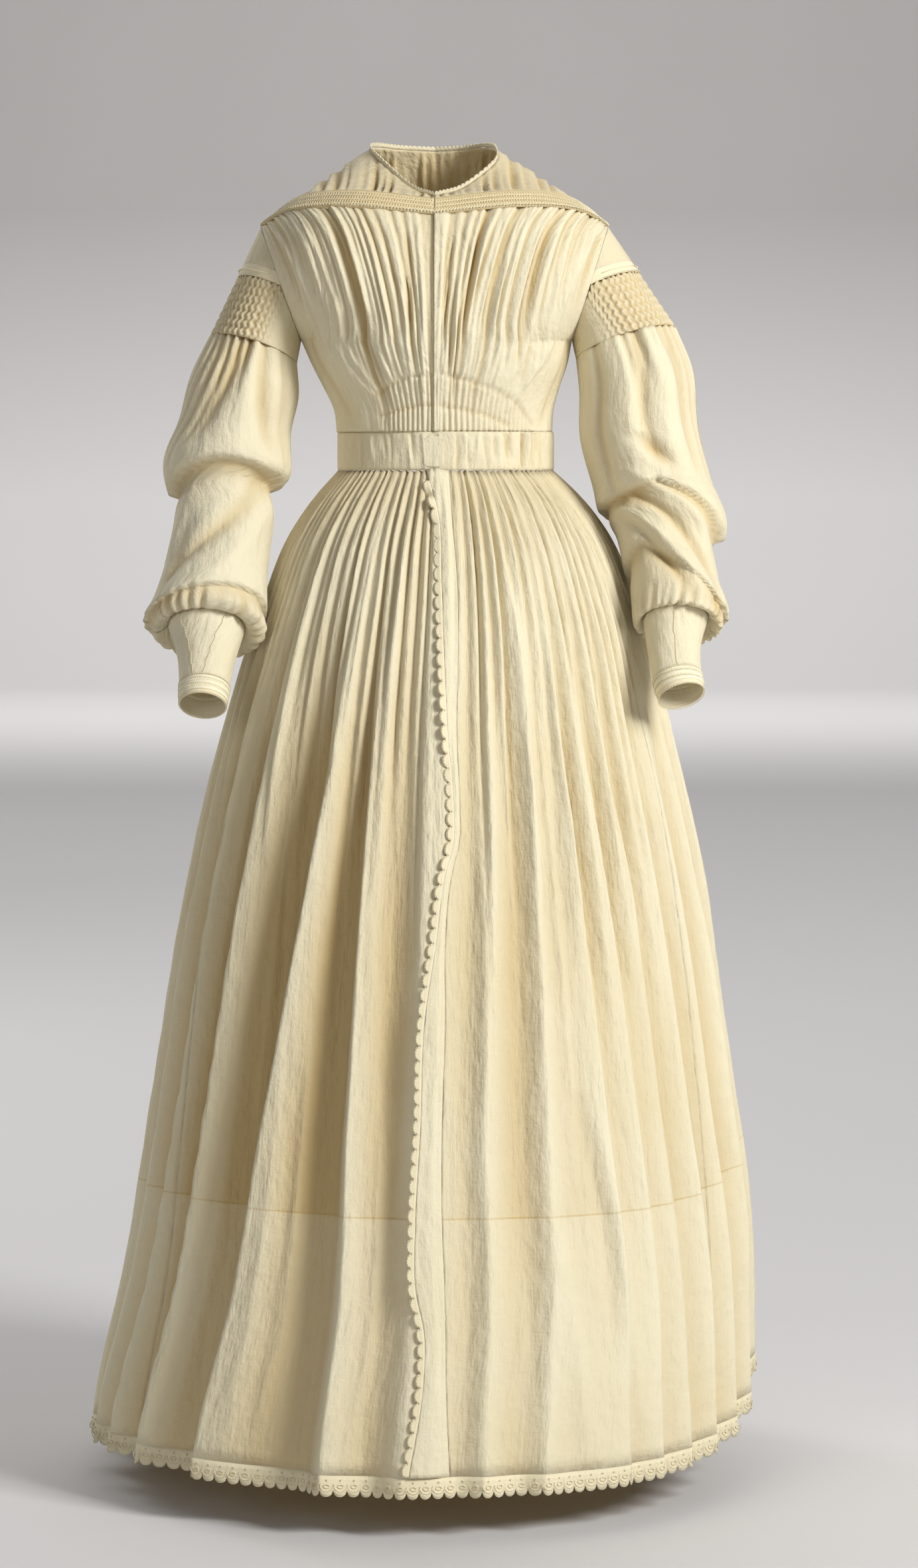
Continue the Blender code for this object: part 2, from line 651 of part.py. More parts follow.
def build_bodice():
    """Two gathered fronts and one back."""
    ends = (SEAM / 2 / UNDERARM_X[1], 1 - SEAM / 2 / UNDERARM_X[1])
    for side in (-1, 1):
        count = 2 * FRONT_PLEATS
        column, rise = grid(np.arange(count + 1), BODICE_ROWS)
        share = column / count
        across = np.clip(front_gather(share, rise), *ends)
        points = bodice(side, 1, across, rise)
        lift = bodice_lift(share, rise, column, 0.55)
        cloth("bodice_front_" + side_name(side), points, lift, spine(points), cotton)
    column, rise = grid(np.arange(-BACK_PLEATS, BACK_PLEATS + 1), BODICE_ROWS)
    across = np.minimum(np.abs(column) / BACK_PLEATS, ends[1])
    left, right = bodice(1, -1, across, rise), bodice(-1, -1, across, rise)
    points = np.where((column < 0)[..., None], right, left)
    lift = bodice_lift(across, rise, column, 0.30)
    cloth("bodice_back", points, lift, spine(points), cotton)


def build_yoke():
    """Front and back lengths of the yoke and its herringbone band, and the neck's narrow edging."""
    front = LINE_TURNS[LINE_TURNS <= SHOULDER_SEAM].copy()
    back = LINE_TURNS[LINE_TURNS >= SHOULDER_SEAM].copy()
    front[0], front[-1], back[0] = 0.1, front[-1] - 0.05, back[0] + 0.05
    for name, turns in (
        ("front_r", -front[::-1]),
        ("front_l", front),
        ("back", np.concatenate([back, -back[-2::-1]])),
    ):
        column, up = grid(np.arange(len(turns)), [0, 0.35, 0.7, 1])
        points = yoke(turns + 0 * column, up)
        lift = np.where(column % 2 == 0, 0, -YOKE_GATHER) * np.sin(math.pi * (0.15 + 0.75 * up))
        cloth("yoke_" + name, points, lift, spine(points), cotton)
        column, down = grid(np.arange(len(turns)), [0.03, 1])
        points = band(turns + 0 * column, down)
        cloth("band_" + name, points, 0 * column, spine(points), herringbone)
    count = 2 * NECK_SCALLOPS + 1
    turn, level = grid(np.linspace(0.3, 359.7, count), [0, 1])
    points = yoke(np.where(turn > 180, turn - 360, turn), 1 + 0 * level)
    points[..., 2] += SEAM + level * np.where(np.arange(count) % 2 == 0, *NECK_TOOTH)
    upright = points * [0, 0, 1]
    cloth("neck_edging", points, 0 * level, upright, lace, TRIM_WALL)


def build_sleeve(side):
    """Cap, band, shirred panel and full sleeve."""
    name = side_name(side)
    table = sleeve_table(side)
    head_core = ring_middle(side, table, np.array(0.0))

    def start_of(angle):
        return head_depth(side, armhole(side, angle) + [side * SEAM, 0, 0])

    count = 2 * SHIRRING_PLEATS
    step = 2 * math.pi / count
    for piece, low, high, columns_across, finish in (
        ("sleeve_cap_", 0, HEAD_BAND, CAP_COLUMNS, cotton),
        ("sleeve_band_", HEAD_BAND + SEAM, HEAD_SHIRRING, BAND_COLUMNS, herringbone),
    ):
        angle, level = grid(columns_across * step, [0, 1])
        depth = mix(np.maximum(start_of(angle), low), high, level)
        cloth(piece + name, sleeve_head(side, angle, depth), 0 * angle, head_core, finish)
    column, level = grid(np.arange(count), [0, 0.25, 0.5, 0.75, 1])
    angle = column * step
    upper = ease(-0.5, 0.1, np.cos(angle))
    depth = mix(np.maximum(start_of(angle), HEAD_SHIRRING + SEAM), HEAD_END, level)
    lift = np.where((column + 4 * level) % 2 == 0, 0, -SMOCKING) * upper
    cloth("shirring_" + name, sleeve_head(side, angle, depth), lift, head_core, cotton, closed=True)

    column, way = grid(np.arange(count), table["way"])
    way[0] = SEAM
    angle = column * step
    share = way / way[-1]
    full = upper[0] * (1 - ease(0.06, 0.28, share)) + ease(0.80, 0.91, share) * (1 - ease(0.94, 1, share))
    lift = np.where(column % 2 == 0, 0, -SLEEVE_GATHER) * full
    core = ring_middle(side, table, np.minimum(way, BAG_CORE * way[-1]))
    cloth("sleeve_" + name, ring(side, table, angle, way), lift, core, cotton, closed=True)


def build_cuff(side):
    """Fitted cuff, wristband and its edging."""
    table = CUFF_L if side > 0 else CUFF_R
    for piece, ways, step, lift, finish in (
        ("cuff_", [0, 0.035, WRISTBAND_START - SEAM], 18, 0, cotton),
        ("wristband_", [WRISTBAND_START, WRISTBAND_END], 18, 0.0006, herringbone),
        ("wrist_edging_", [WRISTBAND_END + SEAM, table["way"][-1]], 9, 0, lace),
    ):
        angle, way = grid(np.radians(np.arange(0, 360, step)), ways)
        if finish is lace:
            way[1] -= np.where(np.arange(way.shape[1]) % 2 == 0, 0, WRIST_NOTCH)
        core = ring_middle(side, table, way)
        points = ring(side, table, angle, way)
        cloth(piece + side_name(side), points, 0 * angle + lift, core, finish, closed=True)


for leftover in list(bpy.data.objects):
    bpy.data.objects.remove(leftover)
parts = bpy.data.collections.new("cotton_dress")
bpy.context.scene.collection.children.link(parts)
cotton = material("ivory_cotton", (0.80, 0.71, 0.50), 0.85)
herringbone = material("herringbone_band", (0.76, 0.66, 0.46), 0.88)
lace = material("scalloped_edging", (0.84, 0.77, 0.60), 0.85)

build_skirt()
build_hem()
build_opening()
build_waistband()
build_bodice()
build_yoke()
for wearer_side in (-1, 1):
    build_sleeve(wearer_side)
    build_cuff(wearer_side)
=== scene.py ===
"""The looks of a long cotton day dress, worn and hollow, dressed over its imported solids.

Metres, +Z up. The front faces -Y; r is the wearer's right at -X and l the wearer's left at +X.
"""

import math

import bmesh
import bpy
import numpy as np
from bpy.props import FloatProperty, FloatVectorProperty, IntProperty, PointerProperty
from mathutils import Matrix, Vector


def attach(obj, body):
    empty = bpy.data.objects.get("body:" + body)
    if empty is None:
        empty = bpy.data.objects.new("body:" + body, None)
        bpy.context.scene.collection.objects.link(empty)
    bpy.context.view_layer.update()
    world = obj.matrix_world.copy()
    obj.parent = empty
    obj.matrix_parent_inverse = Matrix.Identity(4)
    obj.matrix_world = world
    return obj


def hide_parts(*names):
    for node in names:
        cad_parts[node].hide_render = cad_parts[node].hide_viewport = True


bl_info = {
    "name": "Gathered Cotton Dress",
    "version": (1, 0, 0),
    "blender": (4, 5, 0),
    "location": "3D View > Sidebar > Dress",
    "description": "Dresses the packed solids of a gathered cotton dress in cloth, trim and stitching",
    "category": "Object",
}

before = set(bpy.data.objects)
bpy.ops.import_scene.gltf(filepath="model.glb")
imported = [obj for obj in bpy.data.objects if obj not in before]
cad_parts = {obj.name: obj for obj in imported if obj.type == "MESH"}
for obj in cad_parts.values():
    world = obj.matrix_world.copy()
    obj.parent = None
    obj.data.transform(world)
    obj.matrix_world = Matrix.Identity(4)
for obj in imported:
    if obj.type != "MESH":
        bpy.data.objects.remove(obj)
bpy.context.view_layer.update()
RIGHT_ANGLE = math.pi / 2

# The main seams and widths, as in the solids
SEAM = 0.0003
LAP = 0.0030
WAIST_TOP = -0.2460
WAIST_SEAM = -0.2860
UNDERARM = -0.1500
SHOULDER = -0.0310
HEM = -1.2815
CHEST = -0.1000
UNDERARM_X = {-1: 0.1400, 1: 0.1440}
SHOULDER_X = 0.1815
ARMHOLE_DEPTH = 0.0560
UNDER_SHARE = 0.40
EDGING_DROP = 0.0210

# Scallops along each edging, and the mesh columns of one
HEM_SCALLOPS, OPENING_SCALLOPS, NECK_SCALLOPS = 176, 68, 92
SCALLOP_STEPS, NECK_STEPS = 8, 6

# The mesh columns and rows of each sleeve's parts
CAP_GRID, SHIRRED_GRID, BAG_GRID, CUFF_GRID = (80, 16), (240, 38), (148, 104), (96, 16)

# The mesh columns and rows of the bodice's front and back
FRONT_GRID, BACK_GRID = (136, 84), (141, 56)

# Crests of the gathers on each part, and the loose gathers of each front
FRONT_CRESTS, BACK_CRESTS, YOKE_CRESTS, BAG_CRESTS, LOOSE_GATHERS = 27, 31, 39, 27, 34
YOKE_REACH = 0.19


def columns(names, *rows):
    """A table as one array for each named column; its first column is the key."""
    return dict(zip(names.split(), np.array(rows, float).T))


def smooth(table, name, at):
    """A smooth value of one column at a key, from cubic pieces through the rows."""
    keys = next(iter(table.values()))
    values = table[name]
    slopes = np.gradient(values, keys)
    at = np.clip(at, keys[0], keys[-1])
    low = np.clip(np.searchsorted(keys, at, side="right") - 1, 0, len(keys) - 2)
    step = keys[low + 1] - keys[low]
    t = (at - keys[low]) / step
    rise = values[low + 1] - values[low]
    start, end = slopes[low] * step, slopes[low + 1] * step
    return values[low] + t * start + t**2 * (3 * rise - 2 * start - end) + t**3 * (start + end - 2 * rise)


def ease(low, high, at):
    """0 below low and 1 above high, smooth between."""
    t = np.clip((at - low) / (high - low), 0, 1)
    return t * t * (3 - 2 * t)


def mix(a, b, share):
    return a + (b - a) * share


def unit(vectors):
    """The same directions at a length of 1."""
    return vectors / np.linalg.norm(vectors, axis=-1, keepdims=True)


def points_at(at, keys, line):
    """Points of a line, between its own points at their keys."""
    return np.stack([np.interp(at, keys, line[:, k]) for k in range(3)], -1)


def scallop(phase):
    """The half-round outline of a scallop over a phase from 0 to 1."""
    return np.sqrt(np.clip(1 - (2 * phase - 1) ** 2, 0, 1))


def round_angles(count):
    """Evenly spaced angles round a full turn."""
    return np.arange(count) * math.tau / count


def jittered(rng, low, high, count, jitter):
    """Evenly spaced crests, each but the first and the last moved by chance."""
    places = np.linspace(low, high, count)
    places[1:-1] += rng.uniform(-jitter, jitter, count - 2)
    return places


def placed(name, data):
    """A new object of a mesh, lamp or camera, in the scene."""
    made = bpy.data.objects.new(name, data)
    bpy.context.scene.collection.objects.link(made)
    return made


# Sections of the skirt: fall is 0 at the waist seam and 1 at the hem of the cloth
SKIRT = columns(
    "fall   middle   half    front   back",
    (0.000, 0.0115, 0.1130, 0.0900, 0.0880),
    (0.025, 0.0130, 0.1370, 0.1060, 0.1180),
    (0.060, 0.0135, 0.1620, 0.1260, 0.1560),
    (0.140, 0.0135, 0.1970, 0.1580, 0.2090),
    (0.270, 0.0100, 0.2350, 0.1980, 0.2650),
    (0.450, 0.0090, 0.2750, 0.2450, 0.3150),
    (0.650, 0.0080, 0.3050, 0.2920, 0.3620),
    (0.830, 0.0040, 0.3300, 0.3310, 0.4010),
    (1.000, -0.0135, 0.3515, 0.3620, 0.4320),
    (1.030, -0.0145, 0.3535, 0.3660, 0.4360),
)
HEM_RAISE = columns(
    "turn   raise",
    (-180, 0.0600),
    (-130, 0.0050),
    (-100, -0.0120),
    (-80, -0.0020),
    (0, 0.0000),
    (60, 0.0080),
    (88, 0.0420),
    (112, 0.1040),
    (135, 0.0800),
    (180, 0.0600),
)
FLARE, FLARE_TURN, FLARE_WIDTH = 0.019, 112, 17

# Large folds of the skirt: crests in degrees at three heights, depth, and lean as in the solids
FOLDS = columns(
    "knee    shin    hem     depth   lean",
    (-172.0, -172.0, -172.0, 0.0260, 0),
    (-154.0, -152.0, -150.0, 0.0240, -1),
    (-136.0, -134.0, -132.0, 0.0280, 0),
    (-118.0, -118.0, -117.0, 0.0220, 1),
    (-101.0, -103.0, -104.0, 0.0200, 0),
    (-86.0, -89.0, -91.0, 0.0180, -1),
    (-73.0, -75.0, -77.0, 0.0180, -1),
    (-61.0, -64.0, -67.0, 0.0240, -1),
    (-49.0, -53.0, -56.0, 0.0340, -1),
    (-28.0, -37.0, -41.0, 0.0260, -1),
    (-17.5, -18.0, -16.5, 0.0240, -1),
    (-3.0, -5.0, -3.0, 0.0100, 0),
    (11.5, 8.0, 10.5, 0.0200, -1),
    (21.0, 20.5, 21.0, 0.0080, 0),
    (30.0, 33.5, 37.0, 0.0120, 1),
    (37.0, 41.0, 44.5, 0.0130, 1),
    (44.5, 48.0, 52.0, 0.0120, 1),
    (53.5, 56.0, 60.0, 0.0120, 1),
    (63.0, 65.0, 69.0, 0.0120, 0),
    (75.0, 77.0, 80.0, 0.0140, 0),
    (90.0, 92.0, 93.0, 0.0200, 0),
    (107.0, 109.0, 110.0, 0.0240, 1),
    (124.0, 126.0, 127.0, 0.0240, 0),
    (141.0, 142.0, 142.0, 0.0260, -1),
    (157.0, 157.0, 157.0, 0.0240, 0),
)
FOLD_LEVELS = np.array([0.30, 0.68, 1.00])
FOLD_START, FOLD_FULL = 0.02, 0.50
VALLEY_SHIFT = 0.135
CALM_TURN = 0.12

# The broad, calmer panel on the wearer's left: its middle and half width in radians, and the share taken off
PANEL_TURN, PANEL_WIDTH, PANEL_CALM = 0.62, 0.34, 0.45

# The small gathers under the waist: their height over the fall of the skirt
GATHERS = columns(
    "fall  height",
    (0.000, 0.0016),
    (0.020, 0.0030),
    (0.060, 0.0042),
    (0.140, 0.0044),
    (0.270, 0.0032),
    (0.450, 0.0018),
    (0.650, 0.0008),
    (1.030, 0.0004),
)

# The opening's lapped edge and the seam of its facing strip, as distances from the middle plane
OPENING = columns(
    "fall   edge     seam",
    (0.000, -0.0080, 0.0150),
    (0.050, 0.0050, 0.0185),
    (0.110, 0.0075, 0.0235),
    (0.190, 0.0103, 0.0246),
    (0.270, 0.0145, 0.0235),
    (0.340, 0.0205, 0.0270),
    (0.375, 0.0205, 0.0265),
    (0.410, 0.0115, 0.0180),
    (0.480, 0.0020, 0.0115),
    (0.550, -0.0085, 0.0118),
    (0.660, -0.0130, 0.0085),
    (0.750, -0.0178, 0.0085),
    (0.820, -0.0172, 0.0112),
    (0.860, -0.0090, 0.0122),
    (0.910, -0.0100, 0.0127),
    (1.000, -0.0245, 0.0165),
)
FRONT_SEAM, BACK_SEAM = 62.5, 122.5
UNDERLAP = 0.0080

WAIST_LAP = -4.0
TAB_TURNS = (-11.5, -1.0)
TAB_LEVELS = (WAIST_SEAM + 0.0035, WAIST_TOP - 0.0050)

# The bodice by its rise from the waistband (0) to the yoke's band (1)
BODICE = columns(
    "rise   front   back",
    (0.000, 0.0900, 0.0870),
    (0.120, 0.0960, 0.0890),
    (0.280, 0.1090, 0.0930),
    (0.400, 0.1180, 0.0970),
    (0.600, 0.1220, 0.1010),
    (0.800, 0.1140, 0.1000),
    (1.000, 0.0960, 0.0930),
)
SIDE_SEAM = columns(
    "rise   right   left",
    (0.000, 0.1030, 0.1235),
    (0.100, 0.1060, 0.1250),
    (0.200, 0.1170, 0.1310),
    (0.300, 0.1290, 0.1390),
    (0.400, 0.1400, 0.1440),
)
EDGE_ANGLE = columns(
    "rise   angle",
    (0.000, 90.0),
    (0.400, 90.0),
    (0.550, 76.0),
    (0.700, 70.0),
    (0.850, 74.0),
    (1.000, 90.0),
)

# Three lines round the shoulders, by the angle from the centre front in degrees
NECK = columns(
    "turn  out     aside    fore     up",
    (0, 0.0000, 0.0000, -0.0830, -0.0040),
    (30, 0.0265, 0.0030, -0.0680, 0.0050),
    (60, 0.0585, 0.0045, -0.0370, 0.0325),
    (90, 0.0660, -0.0015, 0.0000, 0.0490),
    (120, 0.0570, -0.0030, 0.0350, 0.0540),
    (150, 0.0340, -0.0020, 0.0590, 0.0530),
    (180, 0.0000, 0.0000, 0.0700, 0.0520),
)
BAND_TOP = columns(
    "turn  out     aside    fore     up",
    (0, 0.0000, 0.0000, -0.0950, -0.0070),
    (30, 0.0780, 0.0000, -0.0860, 0.0020),
    (60, 0.1350, 0.0000, -0.0560, -0.0010),
    (90, 0.1680, 0.0000, -0.0010, -0.0190),
    (120, 0.1430, 0.0000, 0.0500, -0.0060),
    (150, 0.0800, 0.0000, 0.0820, -0.0010),
    (180, 0.0000, 0.0000, 0.0920, -0.0040),
)
BAND_FOOT = columns(
    "turn  out     aside    fore     up",
    (0, 0.0000, 0.0000, -0.1010, -0.0230),
    (30, 0.0870, 0.0000, -0.0940, -0.0150),
    (60, 0.1490, 0.0000, -0.0620, -0.0170),
    (90, 0.1815, 0.0000, 0.0000, -0.0310),
    (120, 0.1560, 0.0000, 0.0560, -0.0200),
    (150, 0.0890, 0.0000, 0.0900, -0.0160),
    (180, 0.0000, 0.0000, 0.1000, -0.0210),
)
YOKE_SWELL = 0.0025
LINE_TURNS = np.linspace(0, 180, 25)

# Rings of each sleeve under its shirring, and of each cuff, as in the solids
SLEEVE_R = columns(
    "way    out     fore     up       half    deep    tilt  lean",
    (0.000, 0.1900, -0.0060, -0.1600, 0.0480, 0.0560, 18.0, 10.0),
    (0.035, 0.1980, -0.0080, -0.1930, 0.0570, 0.0640, 12.0, 6.0),
    (0.090, 0.2090, -0.0100, -0.2380, 0.0590, 0.0690, 9.0, 6.0),
    (0.140, 0.2185, -0.0150, -0.2890, 0.0650, 0.0690, 3.0, 11.0),
    (0.160, 0.2200, -0.0180, -0.3090, 0.0560, 0.0600, -4.0, 15.0),
    (0.185, 0.2200, -0.0250, -0.3320, 0.0530, 0.0580, 2.0, 20.0),
    (0.235, 0.2250, -0.0430, -0.3740, 0.0525, 0.0600, 5.0, 27.0),
    (0.305, 0.2340, -0.0780, -0.4310, 0.0590, 0.0610, 4.0, 35.0),
    (0.335, 0.2370, -0.0900, -0.4510, 0.0630, 0.0560, 3.0, 38.0),
    (0.352, 0.2365, -0.0900, -0.4550, 0.0500, 0.0440, 2.0, 38.0),
    (0.362, 0.2360, -0.0880, -0.4480, 0.0400, 0.0370, 2.0, 38.0),
)
SLEEVE_L = columns(
    "way    out     fore     up       half    deep    tilt  lean",
    (0.000, 0.2005, -0.0060, -0.1530, 0.0550, 0.0560, 18.0, 10.0),
    (0.035, 0.2105, -0.0080, -0.1880, 0.0605, 0.0640, 12.0, 6.0),
    (0.100, 0.2155, -0.0110, -0.2490, 0.0630, 0.0700, 7.0, 7.0),
    (0.150, 0.2285, -0.0150, -0.2990, 0.0620, 0.0690, 6.0, 11.0),
    (0.200, 0.2415, -0.0260, -0.3420, 0.0625, 0.0660, -4.0, 18.0),
    (0.225, 0.2420, -0.0360, -0.3620, 0.0545, 0.0570, -14.0, 22.0),
    (0.255, 0.2460, -0.0490, -0.3880, 0.0515, 0.0540, -18.0, 26.0),
    (0.300, 0.2540, -0.0720, -0.4270, 0.0510, 0.0520, -12.0, 31.0),
    (0.328, 0.2530, -0.0830, -0.4470, 0.0460, 0.0460, -4.0, 32.0),
    (0.340, 0.2510, -0.0820, -0.4450, 0.0390, 0.0395, 0.0, 32.0),
    (0.348, 0.2500, -0.0800, -0.4390, 0.0340, 0.0350, 2.0, 32.0),
)
CUFF_R = columns(
    "way    out     fore     up       half    deep    tilt  lean",
    (0.000, 0.2360, -0.0882, -0.4483, 0.0400, 0.0370, 2.0, 38.0),
    (0.040, 0.2350, -0.1080, -0.4800, 0.0300, 0.0300, 2.0, 36.0),
    (0.070, 0.2362, -0.1240, -0.5060, 0.0262, 0.0272, 3.0, 34.0),
    (0.095, 0.2375, -0.1370, -0.5270, 0.0245, 0.0262, 4.0, 34.0),
)
CUFF_L = columns(
    "way    out     fore     up       half    deep    tilt  lean",
    (0.000, 0.2500, -0.0802, -0.4393, 0.0340, 0.0350, 2.0, 32.0),
    (0.040, 0.2478, -0.0990, -0.4710, 0.0275, 0.0285, 4.0, 32.0),
    (0.070, 0.2500, -0.1140, -0.4960, 0.0255, 0.0265, 10.0, 32.0),
    (0.095, 0.2540, -0.1250, -0.5170, 0.0245, 0.0255, 16.0, 32.0),
)
WRISTBAND_START, WRISTBAND_END, CUFF_END = 0.074, 0.0905, 0.095
HEAD_TILT, HEAD_LEAN = 18.0, 10.0
HEAD_BAND, HEAD_SHIRRING, HEAD_END = 0.046, 0.058, 0.128
BAG_CORE = 0.76
PUCKERS, STITCHED_ROWS = 44, 7

# The solids' columns round an arm, and how many of them the cap and the band reach each way
ARM_COLUMNS, CAP_COLUMNS, BAND_COLUMNS = 26, 6, 7

# Their reach in the scene behind and in front, as shares of that
REACH_BEHIND, REACH_FRONT = 1.09, 0.95


class DressCloth(bpy.types.PropertyGroup):
    """The cotton of every cut piece."""

    wall: FloatProperty(
        name="Thickness", description="Thickness of the cloth", default=0.0016, unit="LENGTH"
    )
    light: FloatVectorProperty(
        name="Cloth colour",
        description="Colour of the clean cotton",
        default=(0.865, 0.800, 0.585),
        subtype="COLOR",
    )
    aged: FloatVectorProperty(
        name="Aged colour",
        description="Colour of its yellowed patches",
        default=(0.78, 0.66, 0.38),
        subtype="COLOR",
    )
    # Painted shade: the colour mixed into the cloth in its folds, hollows and other shaded places.
    shaded: FloatVectorProperty(
        name="Fold colour",
        description="Colour in the depth of its folds",
        default=(0.60, 0.43, 0.17),
        subtype="COLOR",
    )
    hem: FloatProperty(
        name="Hem line",
        description="How far under the waist the top of the deep hem is sewn",
        default=0.745,
        unit="LENGTH",
    )
    glow: FloatProperty(
        name="Light let through",
        description="Share of the light that passes the cloth",
        default=0.22,
        subtype="FACTOR",
    )


class DressFolds(bpy.types.PropertyGroup):
    """Folds and gathers."""

    columns: IntProperty(name="Skirt columns", description="Mesh columns round the skirt", default=760)
    rows: IntProperty(name="Skirt rows", description="Mesh rows down the skirt", default=96)
    gathers: IntProperty(name="Gathers", description="Small gathers round the waist", default=94)
    seed: IntProperty(name="Seed", description="Seed of the uneven gathers", default=7)


class DressTrim(bpy.types.PropertyGroup):
    """Edgings, bands and stitches."""

    wall: FloatProperty(
        name="Edging thickness", description="Thickness of the edging", default=0.0012, unit="LENGTH"
    )
    white: FloatVectorProperty(
        name="Thread colour",
        description="Colour of the embroidery",
        default=(0.80, 0.71, 0.48),
        subtype="COLOR",
    )


class DressStage(bpy.types.PropertyGroup):
    """Floor, light and camera."""

    floor: FloatProperty(name="Floor", description="Height of the floor", default=-1.345, unit="LENGTH")
    lens: FloatProperty(name="Lens", description="Focal length of the camera", default=108.9)
    key: FloatProperty(name="Key light", description="Power of the main lamp", default=205.0, unit="POWER")


def skirt(turn, fall):
    """The outer form of the skirt through its crests, and under its hem."""
    half = smooth(SKIRT, "half", fall)
    reach = np.where(np.cos(turn) > 0, smooth(SKIRT, "front", fall), smooth(SKIRT, "back", fall))
    low = HEM + smooth(HEM_RAISE, "raise", np.degrees(turn))
    flare = FLARE * np.exp(-(((np.degrees(turn) - FLARE_TURN) / FLARE_WIDTH) ** 2)) * ease(0.55, 0.95, fall)
    x = smooth(SKIRT, "middle", fall) + half * np.sin(turn) + flare
    return np.stack([x, -reach * np.cos(turn), mix(WAIST_SEAM, low, fall)], -1)


def skirt_turn(x, fall):
    """The angle at which the front of the skirt stands this far from the middle plane."""
    return np.arcsin((x - smooth(SKIRT, "middle", fall)) / smooth(SKIRT, "half", fall))


def crest_turns(fall):
    """The angle of every large crest at this fall, with the first one again a full turn on."""
    turns = [
        np.interp(fall, FOLD_LEVELS, [FOLDS["knee"][i], FOLDS["shin"][i], FOLDS["hem"][i]])
        for i in range(len(FOLDS["knee"]))
    ]
    return turns + [turns[0] + 360]


def large_folds(turn, fall):
    """How far the cloth lies behind its crests."""
    degrees = np.degrees(turn)
    degrees = np.where(degrees < crest_turns(fall)[0], degrees + 360, degrees)
    crests = crest_turns(fall)
    lift = np.zeros_like(degrees)
    for i in range(len(crests) - 1):
        j = (i + 1) % len(FOLDS["lean"])
        valley = 0.5 - VALLEY_SHIFT * (FOLDS["lean"][i] + FOLDS["lean"][j])
        depth = (FOLDS["depth"][i] + FOLDS["depth"][j]) / 2
        t = (degrees - crests[i]) / (crests[i + 1] - crests[i])
        beside = np.clip(np.where(t < valley, t / valley, (1 - t) / (1 - valley)), 0, 1)
        fallen = 0.5 * np.sin(RIGHT_ANGLE * beside) + 0.25 * (1 - np.cos(math.pi * beside))
        lift = np.where((t >= 0) & (t <= 1), -depth * fallen, lift)
    return lift * ease(FOLD_START, FOLD_FULL, fall)


def front_calm(turn):
    """The folds lie lower along the front opening."""
    return 1 - 0.75 * np.exp(-((turn / CALM_TURN) ** 2))


def uneven(count, seed, jitter):
    """Places round a full turn, unevenly spaced, as shares from 0 to 1."""
    rng = np.random.default_rng(seed)
    return np.sort((np.arange(count) + rng.uniform(-jitter, jitter, count)) / count)


def pleats(crests, depths, at):
    """0 on every crest and as low as its depth between two, with soft crests and narrow valleys."""
    phase = np.interp(at, crests, np.arange(len(crests)))
    low = np.clip(phase.astype(int), 0, len(crests) - 2)
    within = np.cos(math.pi * (phase - low))
    return -depths[low] * (1 - np.sqrt(within**2 + 0.02)) / (1 - math.sqrt(0.02))


def drapes(rows, across, down):
    """Soft ridges and troughs from listed rows: each runs down from (top, start) to (foot, end) with a bow.

    A height above 0 is a ridge; lean widens it towards higher values of across.
    """
    lift = np.zeros(np.broadcast(across, down).shape)
    for top, foot, start, end, bow, width, height, lean in rows:
        t = (down - top) / (foot - top)
        off = across - mix(start, end, t) - bow * 4 * t * (1 - t)
        wide = width * np.where(off > 0, 1 + lean, 1 - lean)
        taper = np.sin(math.pi * np.clip(t, 0, 1)) ** 0.6
        lift += height * np.exp(-np.abs(off / wide) ** 1.5) * taper
    return lift
